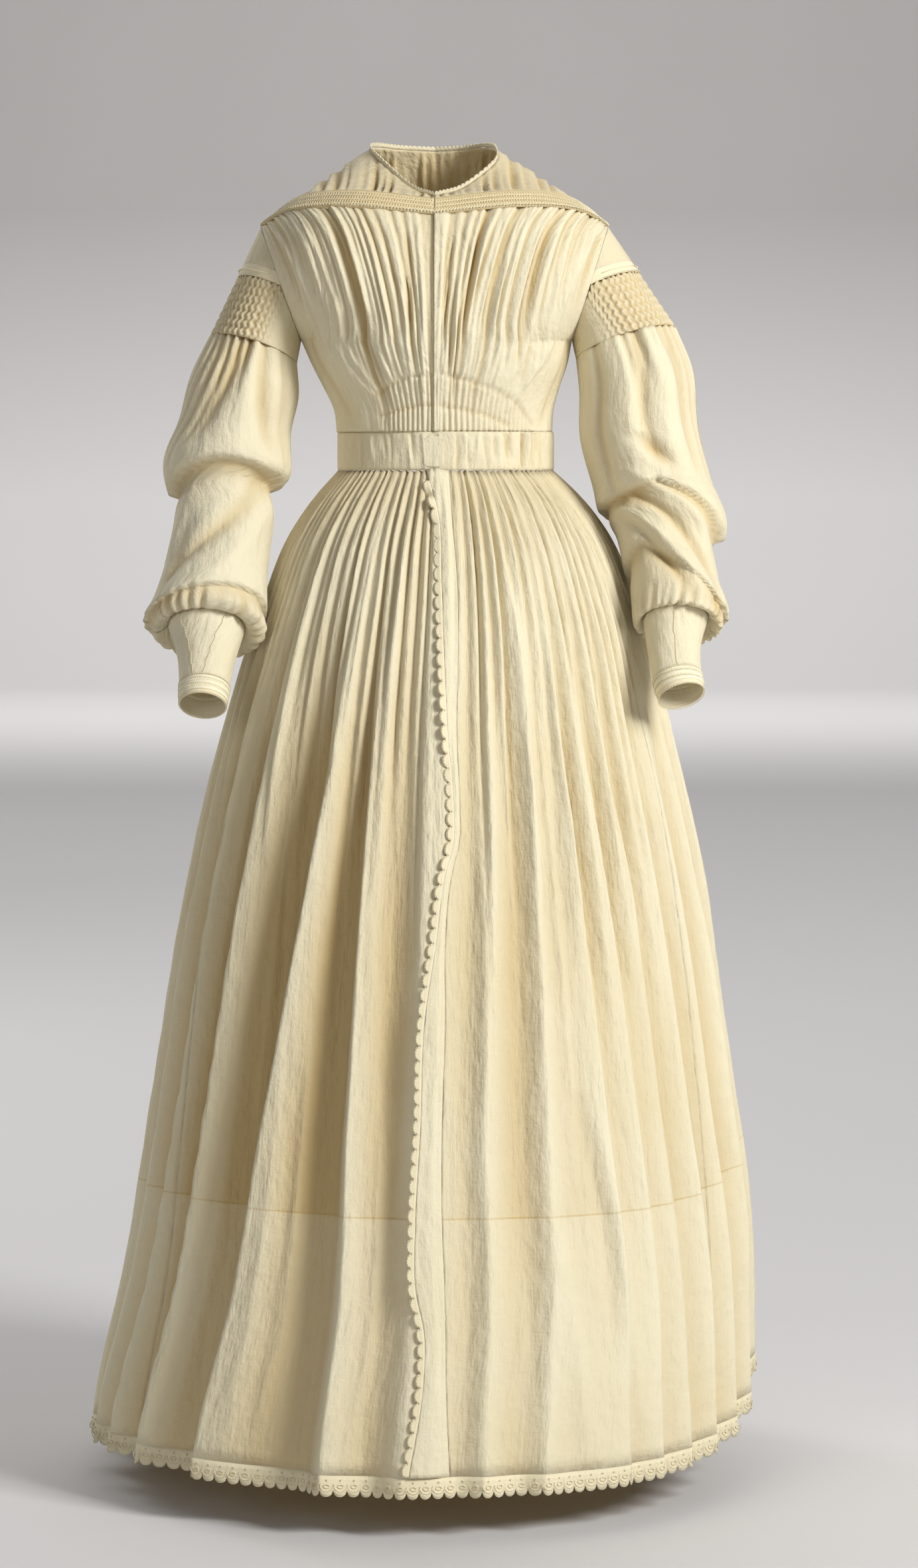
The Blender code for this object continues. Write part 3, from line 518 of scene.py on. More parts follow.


# Creases of the skirt, one by one: falls and degrees at both ends, bow, width in degrees, height, lean
SKIRT_CREASES = (
    (0.02, 0.50, -66.0, -72.0, 0.0, 1.5, 0.0050, 0.4),
    (0.02, 0.62, -55.0, -60.0, 0.6, 1.3, 0.0050, 0.4),
    (0.03, 0.40, -46.5, -46.0, 0.0, 1.2, 0.0055, 0.5),
    (0.02, 0.70, -40.0, -44.0, 0.8, 1.6, 0.0060, 0.5),
    (0.04, 0.36, -35.5, -36.0, 0.0, 1.2, 0.0050, 0.5),
    (0.02, 0.42, -31.0, -31.5, 0.4, 1.0, 0.0050, 0.5),
    (0.03, 0.28, -25.5, -26.0, 0.0, 1.2, 0.0050, 0.5),
    (0.02, 0.46, -21.0, -24.0, 0.0, 1.3, 0.0045, 0.5),
    (0.04, 0.24, -14.5, -15.5, 0.0, 0.9, 0.0040, 0.0),
    (0.04, 0.22, -12.0, -13.0, 0.0, 0.7, 0.0035, 0.0),
    (0.10, 0.95, -9.5, -10.5, 0.8, 2.2, 0.0030, 0.2),
    (0.03, 0.55, 14.5, 17.0, 0.0, 1.2, 0.0050, 0.3),
    (0.05, 0.44, 18.5, 22.5, 0.4, 1.3, 0.0050, -0.2),
    (0.03, 0.72, 23.5, 26.0, 0.6, 1.5, 0.0050, -0.3),
    (0.03, 0.46, 27.5, 31.5, 0.0, 1.2, 0.0045, -0.3),
    (0.03, 0.66, 33.0, 37.5, 0.4, 1.4, 0.0050, -0.3),
    (0.02, 0.52, 40.5, 45.0, 0.0, 1.3, 0.0045, -0.4),
    (0.02, 0.60, 48.0, 52.0, 0.5, 1.4, 0.0050, -0.4),
    (0.02, 0.50, 57.0, 60.5, 0.0, 1.5, 0.0045, -0.4),
    (0.02, 0.64, 66.0, 70.0, 0.0, 1.6, 0.0050, -0.4),
    (0.30, 0.90, 2.0, 1.0, 0.5, 1.8, -0.0030, 0.0),
    (0.55, 0.98, -29.0, -31.0, 0.8, 1.6, 0.0050, 0.3),
    (0.62, 0.99, -33.5, -35.5, 0.0, 1.4, 0.0040, 0.2),
    (0.58, 1.00, -47.0, -51.0, 0.5, 1.7, 0.0050, 0.3),
    (0.60, 0.97, -13.0, -12.0, 0.6, 1.3, 0.0035, 0.2),
    (0.70, 1.00, -8.0, -7.5, -0.5, 1.4, 0.0035, 0.0),
    (0.62, 0.90, 27.0, 33.0, 1.5, 2.6, -0.0065, 0.0),
    (0.64, 0.99, 30.5, 41.0, 0.0, 2.2, 0.0060, 0.2),
    (0.76, 1.00, 22.0, 30.0, 0.0, 2.4, 0.0050, 0.0),
    (0.80, 1.00, 15.0, 17.0, 0.0, 2.6, 0.0040, 0.0),
    (0.45, 0.95, 46.0, 51.5, 0.5, 1.7, -0.0050, 0.0),
    (0.50, 1.00, 57.5, 62.5, 0.0, 1.6, 0.0050, -0.2),
)


def hidden_creases():
    """Like creases round the sides and back, out of the photograph's sight."""
    rng = np.random.default_rng(31)
    rows = []
    for centre in np.concatenate([np.arange(-178, -74, 5.0), np.arange(76, 180, 5.0)]):
        top = rng.choice([0.02, 0.03, 0.45])
        start = centre + rng.uniform(-1.8, 1.8)
        foot = top + rng.uniform(0.35, 0.60)
        width, height = rng.uniform(1.1, 1.9), rng.uniform(0.0035, 0.0060)
        end = start + rng.uniform(-1, 2)
        rows.append((top, foot, start, end, rng.uniform(-0.6, 0.8), width, height, 0.2))
    return rows


def small_gathers(turn, fall):
    """Uneven gathers that run out of the waist seam, some of them much farther than others."""
    folds = bpy.context.scene.dress_folds
    rng = np.random.default_rng(folds.seed)
    crests = (uneven(folds.gathers, folds.seed, 0.30) - 0.5) * 360
    crests = np.concatenate([crests, [crests[0] + 360]])
    depths = rng.uniform(0.45, 1.25, folds.gathers)
    reach = rng.uniform(0.12, 0.75, folds.gathers)
    degrees = np.where(np.degrees(turn) < crests[0], np.degrees(turn) + 360, np.degrees(turn))
    low = np.clip(np.searchsorted(crests, degrees, side="right") - 1, 0, folds.gathers - 1)
    fade = 1 - ease(0.55 * reach[low], reach[low], fall)
    lift = pleats(crests, depths, degrees)
    return 2 * smooth(GATHERS, "height", fall) * lift * fade


def skirt_lift(turn, fall):
    """Large folds and small gathers together."""
    creases = drapes((*SKIRT_CREASES, *hidden_creases()), np.degrees(turn), fall)
    deeper = 1 + 0.30 * ease(0.0, 0.3, fall)
    broad = 1 - PANEL_CALM * np.exp(-(((turn - PANEL_TURN) / PANEL_WIDTH) ** 4)) * ease(0.35, 0.6, fall)
    lift = large_folds(turn, fall) * deeper * broad + small_gathers(turn, fall)
    return np.minimum(lift + creases, 0.0035) * front_calm(turn)


def shoulder_line(table, turn):
    """A line round the shoulders in degrees from the centre front, negative on the wearer's right."""
    side = np.where(turn < 0, -1, 1)
    out, aside, fore, up = (
        np.interp(np.abs(turn), LINE_TURNS, smooth(table, name, LINE_TURNS))
        for name in ("out", "aside", "fore", "up")
    )
    return np.stack([side * out + aside, fore, up], -1)


def armhole(side, angle):
    """The armhole's edge: angle 0 is the shoulder, a right angle the front, a half turn the underarm."""
    middle_x = (SHOULDER_X + UNDERARM_X[side]) / 2
    half_x = (SHOULDER_X - UNDERARM_X[side]) / 2
    x = middle_x + half_x * np.cos(angle)
    z = (SHOULDER + UNDERARM) / 2 + (SHOULDER - UNDERARM) / 2 * np.cos(angle)
    return np.stack([side * x, -ARMHOLE_DEPTH * np.sin(angle), z], -1)


def side_edge(side, face, rise):
    """The side seam up to the underarm, and the armhole's front (face 1) or back (-1) above it."""
    seam_x = side * smooth(SIDE_SEAM, "left" if side > 0 else "right", rise)
    seam = np.stack([seam_x, 0 * rise, mix(WAIST_TOP, UNDERARM, rise / UNDER_SHARE)], -1)
    above = armhole(side, face * math.pi * (1 - np.clip((rise - UNDER_SHARE) / (1 - UNDER_SHARE), 0, 1)))
    return np.where((rise < UNDER_SHARE)[..., None], seam, above)


def bodice_section(side, face, across, rise):
    """A bodice panel as bent sections between the middle and its side edge."""
    edge = side_edge(side, face, rise)
    angle = np.radians(smooth(EDGE_ANGLE, "angle", rise))
    reach = smooth(BODICE, "front" if face > 0 else "back", rise)
    wide = edge[..., 0] / np.sin(angle)
    deep = (reach + face * edge[..., 1]) / (1 - np.cos(angle))
    x = wide * np.sin(across * angle)
    y = -face * (reach - deep * (1 - np.cos(across * angle)))
    return np.stack([x, y, mix(mix(WAIST_TOP, BAND_FOOT["up"][0], rise), edge[..., 2], across)], -1)


def bodice(side, face, across, rise):
    """The outer form of a bodice panel, brought to the foot of the band at its top."""
    turn = side * (90 * across if face > 0 else 180 - 90 * across)
    top = shoulder_line(BAND_FOOT, turn)
    top[..., 0] = np.where(across < 1e-9, 0, top[..., 0])
    top[..., 2] -= SEAM
    drawn = top - bodice_section(side, face, across, np.ones_like(rise))
    return bodice_section(side, face, across, rise) + drawn * ease(0.45, 1.0, rise)[..., None]


def front_gather(across, rise):
    """Where the pleats of the front run: spread under the yoke, drawn to the middle at the waist."""
    drawn = 1 - ease(0.15, 0.95, rise)
    return mix(across, 0.35 * across + 0.65 * across**2, drawn)


def yoke(turn, up):
    """The falling yoke: up is 0 at the band and 1 at the neck."""
    form = mix(shoulder_line(BAND_TOP, turn), shoulder_line(NECK, turn), up[..., None])
    form[..., 2] += YOKE_SWELL * np.sin(math.pi * up)
    return form


def band(turn, down):
    """The herringbone band: down is 0 at its upper edge and 1 at its foot."""
    return mix(shoulder_line(BAND_TOP, turn), shoulder_line(BAND_FOOT, turn), down[..., None])


def ring(side, table, angle, way):
    """A sleeve's ring: angle 0 is the outer side and a right angle the front."""
    tilt, lean = np.radians(smooth(table, "tilt", way)), np.radians(smooth(table, "lean", way))
    across = smooth(table, "half", way) * np.cos(angle)
    ahead = smooth(table, "deep", way) * np.sin(angle)
    rise = ahead * np.sin(lean)
    x = across * np.cos(tilt) - rise * np.sin(tilt)
    z = across * np.sin(tilt) + rise * np.cos(tilt)
    out, fore, up = (smooth(table, name, way) for name in ("out", "fore", "up"))
    return np.stack([side * (out + x), fore - ahead * np.cos(lean), up + z], -1)


def ring_middle(side, table, way):
    """The middle of a sleeve's ring."""
    out, fore, up = (smooth(table, name, way) for name in ("out", "fore", "up"))
    return np.stack([side * out, fore, up], -1)


def sleeve_table(side):
    return SLEEVE_L if side > 0 else SLEEVE_R


def head_depth(side, point):
    """How far down the arm a point of the sleeve head lies, from the shoulder."""
    tilt, lean = math.radians(HEAD_TILT), math.radians(HEAD_LEAN)
    down = np.array([side * math.sin(tilt), -math.sin(lean) * 0.6, -math.cos(tilt)])
    return (point - np.array([side * SHOULDER_X, 0, SHOULDER])) @ down


def sleeve_head(side, angle, depth):
    """Between the armhole and the first ring of the sleeve, at a depth down the arm."""
    top = armhole(side, angle)
    foot = ring(side, sleeve_table(side), angle, 0 * angle)
    start = head_depth(side, top)
    share = np.clip((depth - start) / (HEAD_END - start), 0, 1)
    return mix(top, foot, share[..., None])


def aim(points, core):
    """Unit directions from points to their core."""
    return unit(core - points)


def spine(points):
    """The torso's core: level with each point, but no higher than the chest."""
    core = np.zeros_like(points)
    core[..., 0] = 0.005
    core[..., 2] = np.minimum(points[..., 2], CHEST)
    return core


def skirt_core(points):
    """The skirt's core: lower than each point, and much lower just under the waist."""
    core = np.zeros_like(points)
    reach = np.hypot(points[..., 0], points[..., 1])
    drop = 0.12 + 0.85 * np.exp((points[..., 2] - WAIST_SEAM) / 0.07)
    core[..., 2] = points[..., 2] - drop * reach
    return core


def grid(u, v):
    """Two arrays with a row for each v and a column for each u."""
    return np.meshgrid(np.asarray(u, float), np.asarray(v, float))


def lifted(points, lift, core):
    """Points raised away from their core."""
    return points - aim(points, core) * lift[..., None]


def unrolled(outer):
    """Distances across and down a grid of points, for its UV map, in metres from its middle column."""
    across = np.linalg.norm(np.diff(outer, axis=1), axis=-1)
    down = np.linalg.norm(np.diff(outer, axis=0), axis=-1).mean(1)
    u = np.concatenate([np.zeros((len(outer), 1)), np.cumsum(across, 1)], 1)
    u -= u[:, [u.shape[1] // 2]]
    v = np.concatenate([[0], np.cumsum(down)])[:, None] + 0 * u
    return u, v


def cloth(name, outer, core, finish, thick, closed=False, across=None, down=None, hollow=None):
    """A thin shell between a grid of outer points and the same points moved towards their core.

    hollow is the painted shade of each point, from 0 to 1, mostly by how far it lies in a fold; the material
    mixes the fold colour in by it.
    """
    rows, wide = outer.shape[:2]
    inner = outer + aim(outer, core) * thick
    count = rows * wide
    spans = wide if closed else wide - 1
    i, j = np.meshgrid(np.arange(rows - 1), np.arange(spans), indexing="ij")
    k = (j + 1) % wide
    a, b, c, d = i * wide + j, i * wide + k, (i + 1) * wide + k, (i + 1) * wide + j
    front = np.stack([a, b, c, d], -1).reshape(-1, 4)
    faces = [front, front[:, ::-1] + count]
    walls = 2 * len(front)
    j = np.arange(spans)
    k = (j + 1) % wide
    top, foot = np.stack([j, k], -1), np.stack([j, k], -1) + (rows - 1) * wide
    faces.append(np.concatenate([top[:, ::-1], top + count], 1))
    faces.append(np.concatenate([foot, foot[:, ::-1] + count], 1))
    if not closed:
        i = np.arange(rows - 1) * wide
        near, far = np.stack([i, i + wide], -1), np.stack([i, i + wide], -1) + wide - 1
        faces.append(np.concatenate([near, near[:, ::-1] + count], 1))
        faces.append(np.concatenate([far[:, ::-1], far + count], 1))
    faces = np.concatenate(faces)
    points = np.concatenate([outer.reshape(-1, 3), inner.reshape(-1, 3)])
    u, v = unrolled(outer)
    u = u if across is None else across
    v = v if down is None else down
    places = np.tile(np.stack([u.ravel(), v.ravel()], -1), (2, 1))
    data = bpy.data.meshes.new(name)
    data.vertices.add(len(points))
    data.vertices.foreach_set("co", points.ravel())
    data.loops.add(4 * len(faces))
    data.loops.foreach_set("vertex_index", faces.ravel())
    data.polygons.add(len(faces))
    data.polygons.foreach_set("loop_start", 4 * np.arange(len(faces)))
    data.update(calc_edges=True)
    layer = data.uv_layers.new(name="cloth")
    layer.data.foreach_set("uv", places[faces.ravel()].ravel())
    mesh = bmesh.new()
    mesh.from_mesh(data)
    bmesh.ops.recalc_face_normals(mesh, faces=mesh.faces)
    mesh.to_mesh(data)
    mesh.free()
    data.polygons.foreach_set("use_smooth", np.arange(len(faces)) < walls)
    # The painted shade of each point, kept as the hollow attribute for the material.
    shade = data.attributes.new("hollow", "FLOAT", "POINT")
    deep = np.zeros(outer.shape[:2]) if hollow is None else np.clip(hollow, 0, 1)
    shade.data.foreach_set("value", np.tile(deep.ravel(), 2).astype(np.float32))
    data.materials.append(finish)
    return placed(name, data)


def worn(piece, node):
    """Stands a piece for a node of the solids."""
    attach(piece, "root")
    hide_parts(node)
    return piece


def side_name(side):
    return "l" if side > 0 else "r"


class Value:
    """A number in a material, which takes Python's operators."""

    def __init__(self, finish, socket):
        self.finish = finish
        self.socket = socket

    def math(self, operation, *others, first=None):
        node = self.finish.tree.nodes.new("ShaderNodeMath")
        node.operation = operation
        terms = [self, *others] if first is None else [first, self]
        for at, term in enumerate(terms):
            self.finish.put(node.inputs[at], term)
        return Value(self.finish, node.outputs[0])

    def __add__(self, other):
        return self.math("ADD", other)

    def __mul__(self, other):
        return self.math("MULTIPLY", other)

    def __sub__(self, other):
        return self.math("SUBTRACT", other)

    def __rsub__(self, other):
        return self.math("SUBTRACT", first=other)


class Finish:
    """A material and the nodes that make it."""

    def __init__(self, name):
        self.made = bpy.data.materials.new(name)
        self.made.use_nodes = True
        self.tree = self.made.node_tree
        self.tree.nodes.clear()

    def put(self, socket, value):
        """Gives a socket a number, colour or link."""
        if isinstance(value, Value):
            self.tree.links.new(value.socket, socket)
        elif hasattr(value, "links"):
            self.tree.links.new(value, socket)
        else:
            socket.default_value = value

    def node(self, kind, settings=None, **inputs):
        """Any node: its settings first, then its inputs by name."""
        node = self.tree.nodes.new(kind)
        for name, value in (settings or {}).items():
            setattr(node, name, value)
        for name, value in inputs.items():
            self.put(node.inputs[name.replace("_", " ")], value)
        return node

    def noise(self, scale, detail, vector):
        found = self.node("ShaderNodeTexNoise", Scale=scale, Detail=detail, Roughness=0.55, Vector=vector)
        return Value(self, found.outputs["Fac"])

    def stretched(self, vector, x, y):
        """A vector with its first two directions each at a scale of its own."""
        return self.node("ShaderNodeMapping", Scale=(x, y, 1.0), Vector=vector).outputs["Vector"]

    def blend(self, share, a, b):
        """A colour between two."""
        node = self.tree.nodes.new("ShaderNodeMix")
        node.data_type = "RGBA"
        self.put(node.inputs[0], share)
        self.put(node.inputs[6], a)
        self.put(node.inputs[7], b)
        return node.outputs[2]

    def bumped(self, height, distance, normal=None):
        node = self.node("ShaderNodeBump", Height=height, Distance=distance, Strength=1.0)
        if normal is not None:
            self.put(node.inputs["Normal"], normal)
        return node.outputs["Normal"]

    def done(self, shader):
        out = self.tree.nodes.new("ShaderNodeOutputMaterial")
        self.tree.links.new(shader, out.inputs["Surface"])
        return self.made


def woven(name, light, aged, shaded, glow, crease=1.0, weave=1.0, hem=None):
    """Thin plain-woven cotton that lets some light through, with painted shade that makes it darker and
    yellower in its folds.

    hem is the distance down the cloth where it is turned up double.
    """
    finish = Finish(name)
    cloth_map = finish.node("ShaderNodeUVMap", {"uv_map": "cloth"}).outputs["UV"]
    place = finish.node("ShaderNodeTexCoord").outputs["Object"]
    slubs = finish.noise(1.0, 3, finish.stretched(cloth_map, 260, 34))
    picks = finish.noise(1.0, 3, finish.stretched(cloth_map, 34, 420))
    patches = finish.noise(5.5, 4, place)
    creases = finish.noise(1.0, 4, finish.stretched(cloth_map, 62, 13))
    crumple = finish.noise(1.0, 5, finish.stretched(cloth_map, 70, 55))
    tone = finish.blend((patches - 0.40) * 1.1 + (slubs - 0.5) * 0.30, (*light, 1), (*aged, 1))
    # Painted shade: the hollow attribute mixes the fold colour into the cloth, darker and yellower in folds
    # and hollows.
    hollow = Value(finish, finish.node("ShaderNodeAttribute", {"attribute_name": "hollow"}).outputs["Fac"])
    depth = hollow * 0.85
    # Where the hem is turned up double the painted shade is weaker; the hem's seam line is drawn darker in
    # the same colour.
    if hem is not None:
        level = Value(finish, finish.node("ShaderNodeSeparateXYZ", Vector=cloth_map).outputs["Y"])
        doubled = level.math("GREATER_THAN", hem)
        depth = depth * (1 - doubled * 0.30)
        line = 1 - ((level - hem).math("ABSOLUTE") * 700).math("MINIMUM", 1.0)
        depth = depth + line * 0.5
    tone = finish.blend(depth, tone, (*shaded, 1))
    fine = slubs * 0.5 + picks * 0.5
    normal = finish.bumped(creases * 0.6 + crumple * 0.4, 0.0060 * crease)
    normal = finish.bumped(fine, 0.0005 * weave, normal=normal)
    shader = finish.node("ShaderNodeBsdfPrincipled", Roughness=0.86, Base_Color=tone, Normal=normal)
    shader.inputs["Sheen Weight"].default_value = 0.12
    shader.inputs["Sheen Roughness"].default_value = 0.5
    through = finish.node("ShaderNodeBsdfTranslucent", Color=(*aged, 1), Normal=normal)
    both = finish.node("ShaderNodeMixShader", Fac=glow)
    finish.put(both.inputs[1], shader.outputs[0])
    finish.put(both.inputs[2], through.outputs[0])
    return finish.done(both.outputs[0])


def paper(name, floor):
    """Pale studio paper, with painted shade that darkens it high up the backdrop."""
    finish = Finish(name)
    place = finish.node("ShaderNodeTexCoord").outputs["Object"]
    cloud = finish.noise(1.2, 2, place)
    level = Value(finish, finish.node("ShaderNodeSeparateXYZ", Vector=place).outputs["Z"])
    # Painted shade: the backdrop darkens from 0.9 m over the floor upwards, where less light falls.
    high = ((level - floor - 0.9) * 0.62).math("MINIMUM", 1.0).math("MAXIMUM", 0.0)
    tone = finish.blend(high, (0.60, 0.585, 0.575, 1), (0.36, 0.34, 0.33, 1))
    tone = finish.blend(cloud * 0.12, tone, (0.50, 0.49, 0.49, 1))
    shader = finish.node("ShaderNodeBsdfPrincipled", Roughness=0.75, Base_Color=tone)
    return finish.done(shader.outputs[0])


def beads(name, *lines, radius=0.0003, sides=5):
    """An object of rounded threads, each through a line of points."""
    mesh = bmesh.new()
    for line in lines:
        line = [Vector(point) for point in line]
        rings = []
        for i, point in enumerate(line):
            way = (line[min(i + 1, len(line) - 1)] - line[max(i - 1, 0)]).normalized()
            side = way.cross(Vector((0, 0, 1))).normalized()
            wide = radius * (0.35 if i in (0, len(line) - 1) else 1)
            turns = [math.tau * k / sides for k in range(sides)]
            round_way = [math.cos(a) * side + math.sin(a) * side.cross(way) for a in turns]
            rings.append([mesh.verts.new(point + wide * arm) for arm in round_way])
        for near, far in zip(rings, rings[1:]):
            for k in range(sides):
                mesh.faces.new((near[k], near[(k + 1) % sides], far[(k + 1) % sides], far[k]))
        mesh.faces.new(rings[0])
        mesh.faces.new(rings[-1][::-1])
    bmesh.ops.recalc_face_normals(mesh, faces=mesh.faces)
    data = bpy.data.meshes.new(name)
    mesh.to_mesh(data)
    mesh.free()
    data.polygons.foreach_set("use_smooth", [True] * len(data.polygons))
    return bpy.data.objects.new(name, data)


def sewing_tree(name, stitch, finish):
    """Geometry nodes that put one stitch on every point, turned by its along and out directions."""
    tree = bpy.data.node_groups.new(name, "GeometryNodeTree")
    tree.interface.new_socket("Points", in_out="INPUT", socket_type="NodeSocketGeometry")
    size = tree.interface.new_socket("Size", in_out="INPUT", socket_type="NodeSocketFloat")
    tree.interface.new_socket("Stitches", in_out="OUTPUT", socket_type="NodeSocketGeometry")
    start, end = tree.nodes.new("NodeGroupInput"), tree.nodes.new("NodeGroupOutput")
    info = tree.nodes.new("GeometryNodeObjectInfo")
    info.inputs["Object"].default_value = stitch
    turn = tree.nodes.new("FunctionNodeAxesToRotation")
    turn.primary_axis, turn.secondary_axis = "Z", "X"
    for axis, socket in (("out", turn.inputs[0]), ("along", turn.inputs[1])):
        named_axis = tree.nodes.new("GeometryNodeInputNamedAttribute")
        named_axis.data_type = "FLOAT_VECTOR"
        named_axis.inputs["Name"].default_value = axis
        tree.links.new(named_axis.outputs["Attribute"], socket)
    put = tree.nodes.new("GeometryNodeInstanceOnPoints")
    tree.links.new(start.outputs["Points"], put.inputs["Points"])
    tree.links.new(info.outputs["Geometry"], put.inputs["Instance"])
    tree.links.new(turn.outputs[0], put.inputs["Rotation"])
    tree.links.new(start.outputs["Size"], put.inputs["Scale"])
    real = tree.nodes.new("GeometryNodeRealizeInstances")
    paint = tree.nodes.new("GeometryNodeSetMaterial")
    paint.inputs["Material"].default_value = finish
    tree.links.new(put.outputs[0], real.inputs[0])
    tree.links.new(real.outputs[0], paint.inputs[0])
    tree.links.new(paint.outputs[0], end.inputs[0])
    return tree, size.identifier


def sewn(name, places, along, out, stitch, finish, size=1.0):
    """A plain mesh of one stitch at every place."""
    data = bpy.data.meshes.new(name)
    data.from_pydata([tuple(place) for place in places], [], [])
    for axis, values in (("along", along), ("out", out)):
        layer = data.attributes.new(axis, "FLOAT_VECTOR", "POINT")
        layer.data.foreach_set("vector", np.asarray(values, np.float32).ravel())
    holder = placed(name, data)
    tree, size_key = sewing_tree(name + "_nodes", stitch, finish)
    modifier = holder.modifiers.new("stitches", "NODES")
    modifier.node_group = tree
    modifier[size_key] = size
    graph = bpy.context.evaluated_depsgraph_get()
    result = bpy.data.meshes.new_from_object(holder.evaluated_get(graph))
    holder.modifiers.clear()
    holder.data = result
    bpy.data.node_groups.remove(tree)
    bpy.data.meshes.remove(stitch.data)
    if not result.materials:
        result.materials.append(finish)
    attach(holder, "root")
    return holder


def along_of(line):
    """Unit directions along a line of points."""
    return unit(np.gradient(line, axis=0))


def spaced(line, out, pitch):
    """Evenly spaced points along a line, with their directions along and out."""
    steps = np.concatenate([[0], np.cumsum(np.linalg.norm(np.diff(line, axis=0), axis=-1))])
    at = np.arange(pitch / 2, steps[-1], pitch)
    places = points_at(at, steps, line)
    return places, along_of(places), unit(points_at(at, steps, out))


def sew(name, line, out, pitch, stitch, size=1.0, rise=0.0, finish="edging"):
    """Stitches one after the other along a line on the cloth."""
    places, along, outs = spaced(line, out, pitch)
    return sewn(name, places + outs * rise, along, outs, stitch, named(finish), size)


def chevron():
    """One herringbone stitch: two short slanting threads."""
    half, tall = 0.0011, 0.0019
    return beads(
        "herringbone_stitch",
        [(-half, tall, 0), (0, tall / 2, 0.0002), (half, 0, 0)],
        [(-half, -tall, 0), (0, -tall / 2, 0.0002), (half, 0, 0)],
        radius=0.00034,
        sides=4,
    )


def running():
    """One running stitch."""
    return beads("running_stitch", [(-0.0011, 0, 0), (0, 0, 0.0003), (0.0011, 0, 0)], radius=0.0003, sides=4)


def picot():
    """One small loop of an edging."""
    turns = [math.pi * k / 4 for k in range(5)]
    loop = [(-0.0016 * math.cos(a), 0.0015 * math.sin(a), 0) for a in turns]
    return beads("picot_loop", loop, radius=0.0004, sides=4)


def motif():
    """The worked edge, oval and dot of one scallop."""
    arc = [math.pi * k / 7 for k in range(8)]
    edge = [(-0.0068 * math.cos(a), -0.0085 - 0.0075 * math.sin(a), 0) for a in arc]
    ring = [math.tau * k / 8 for k in range(9)]
    oval = [(0.0030 * math.cos(a), -0.0105 + 0.0020 * math.sin(a), 0.0003) for a in ring]
    dot = [(0.0009 * math.cos(a), -0.0045 + 0.0009 * math.sin(a), 0.0003) for a in ring[::2]]
    return beads("scallop_motif", edge, oval, dot, radius=0.00060, sides=3)


finishes = {}


def named(name):
    """One of the dress's finishes, made when it is first asked for."""
    if name not in finishes:
        tone, trim = bpy.context.scene.dress_cloth, bpy.context.scene.dress_trim
        light, aged, shaded, glow = tuple(tone.light), tuple(tone.aged), tuple(tone.shaded), tone.glow
        thread = tuple(trim.white)
        if name == "cotton":
            finishes[name] = woven("ivory_cotton_weave", light, aged, shaded, glow)
        elif name == "skirt":
            finishes[name] = woven("ivory_skirt_weave", light, aged, shaded, glow, hem=tone.hem)
        elif name == "band":
            finishes[name] = woven("herringbone_band_weave", light, aged, shaded, glow * 0.3, 0.2, 2.0)
        elif name == "edging":
            finishes[name] = woven("scalloped_edging_thread", thread, light, aged, glow * 0.5, 0.1, 2.0)
    return finishes[name]


class DRESS_OT_skirt(bpy.types.Operator):
    """Five gathered widths of the skirt"""

    bl_idname = "dress.skirt"
    bl_label = "Skirt"

    def execute(self, context):
        folds, wall = context.scene.dress_folds, context.scene.dress_cloth.wall
        share = np.linspace(0, 1, folds.rows)
        rows = 0.35 * share**2 + 0.65 * share
        front, back = math.radians(FRONT_SEAM), math.radians(BACK_SEAM)
        seam_turn = skirt_turn(smooth(OPENING, "seam", rows), rows)
        edge = smooth(OPENING, "edge", rows)
        lap = np.minimum(UNDERLAP, 0.4 * (smooth(OPENING, "seam", rows) - edge))
        lap_turn = skirt_turn(edge + lap, rows)
        for name, start, end, flat in (
            ("front_r", -front, lap_turn, (0.42, 1.00)),
            ("front_l", seam_turn, front, (0.40, 1.00)),
            ("side_r", -back, -front, (0.44, 1.00)),
            ("side_l", front, back, (0.44, 1.00)),
            ("back", back, 2 * math.pi - back, (0.90, 1.00)),
        ):
            start, end = np.broadcast_to(start, len(rows)), np.broadcast_to(end, len(rows))
            count = round((end - start).mean() * folds.columns / (2 * math.pi))
            column, fall = grid(np.arange(count + 1), rows)
            turn = mix(start[:, None], end[:, None], column / count)
            turn = np.where(turn > math.pi, turn - 2 * math.pi, turn)
            points = skirt(turn, fall)
            lift = skirt_lift(turn, fall)
            outer = lifted(points, lift, skirt_core(points))
            # Painted shade: darker in the valleys of the folds, and darker just under the waist seam.
            hollow = np.clip(-lift / 0.022, 0, 1) * ease(0, 0.1, fall) + 0.35 * (1 - ease(0, 0.12, fall))
            down = fall * (WAIST_SEAM - HEM)
            core, across = skirt_core(points), turn * 0.42
            label, finish = "skirt_width_" + name, named("skirt")
            piece = cloth(label, outer, core, finish, wall, across=across, down=down, hollow=hollow)
            worn(piece, "skirt_" + name)
        return {"FINISHED"}


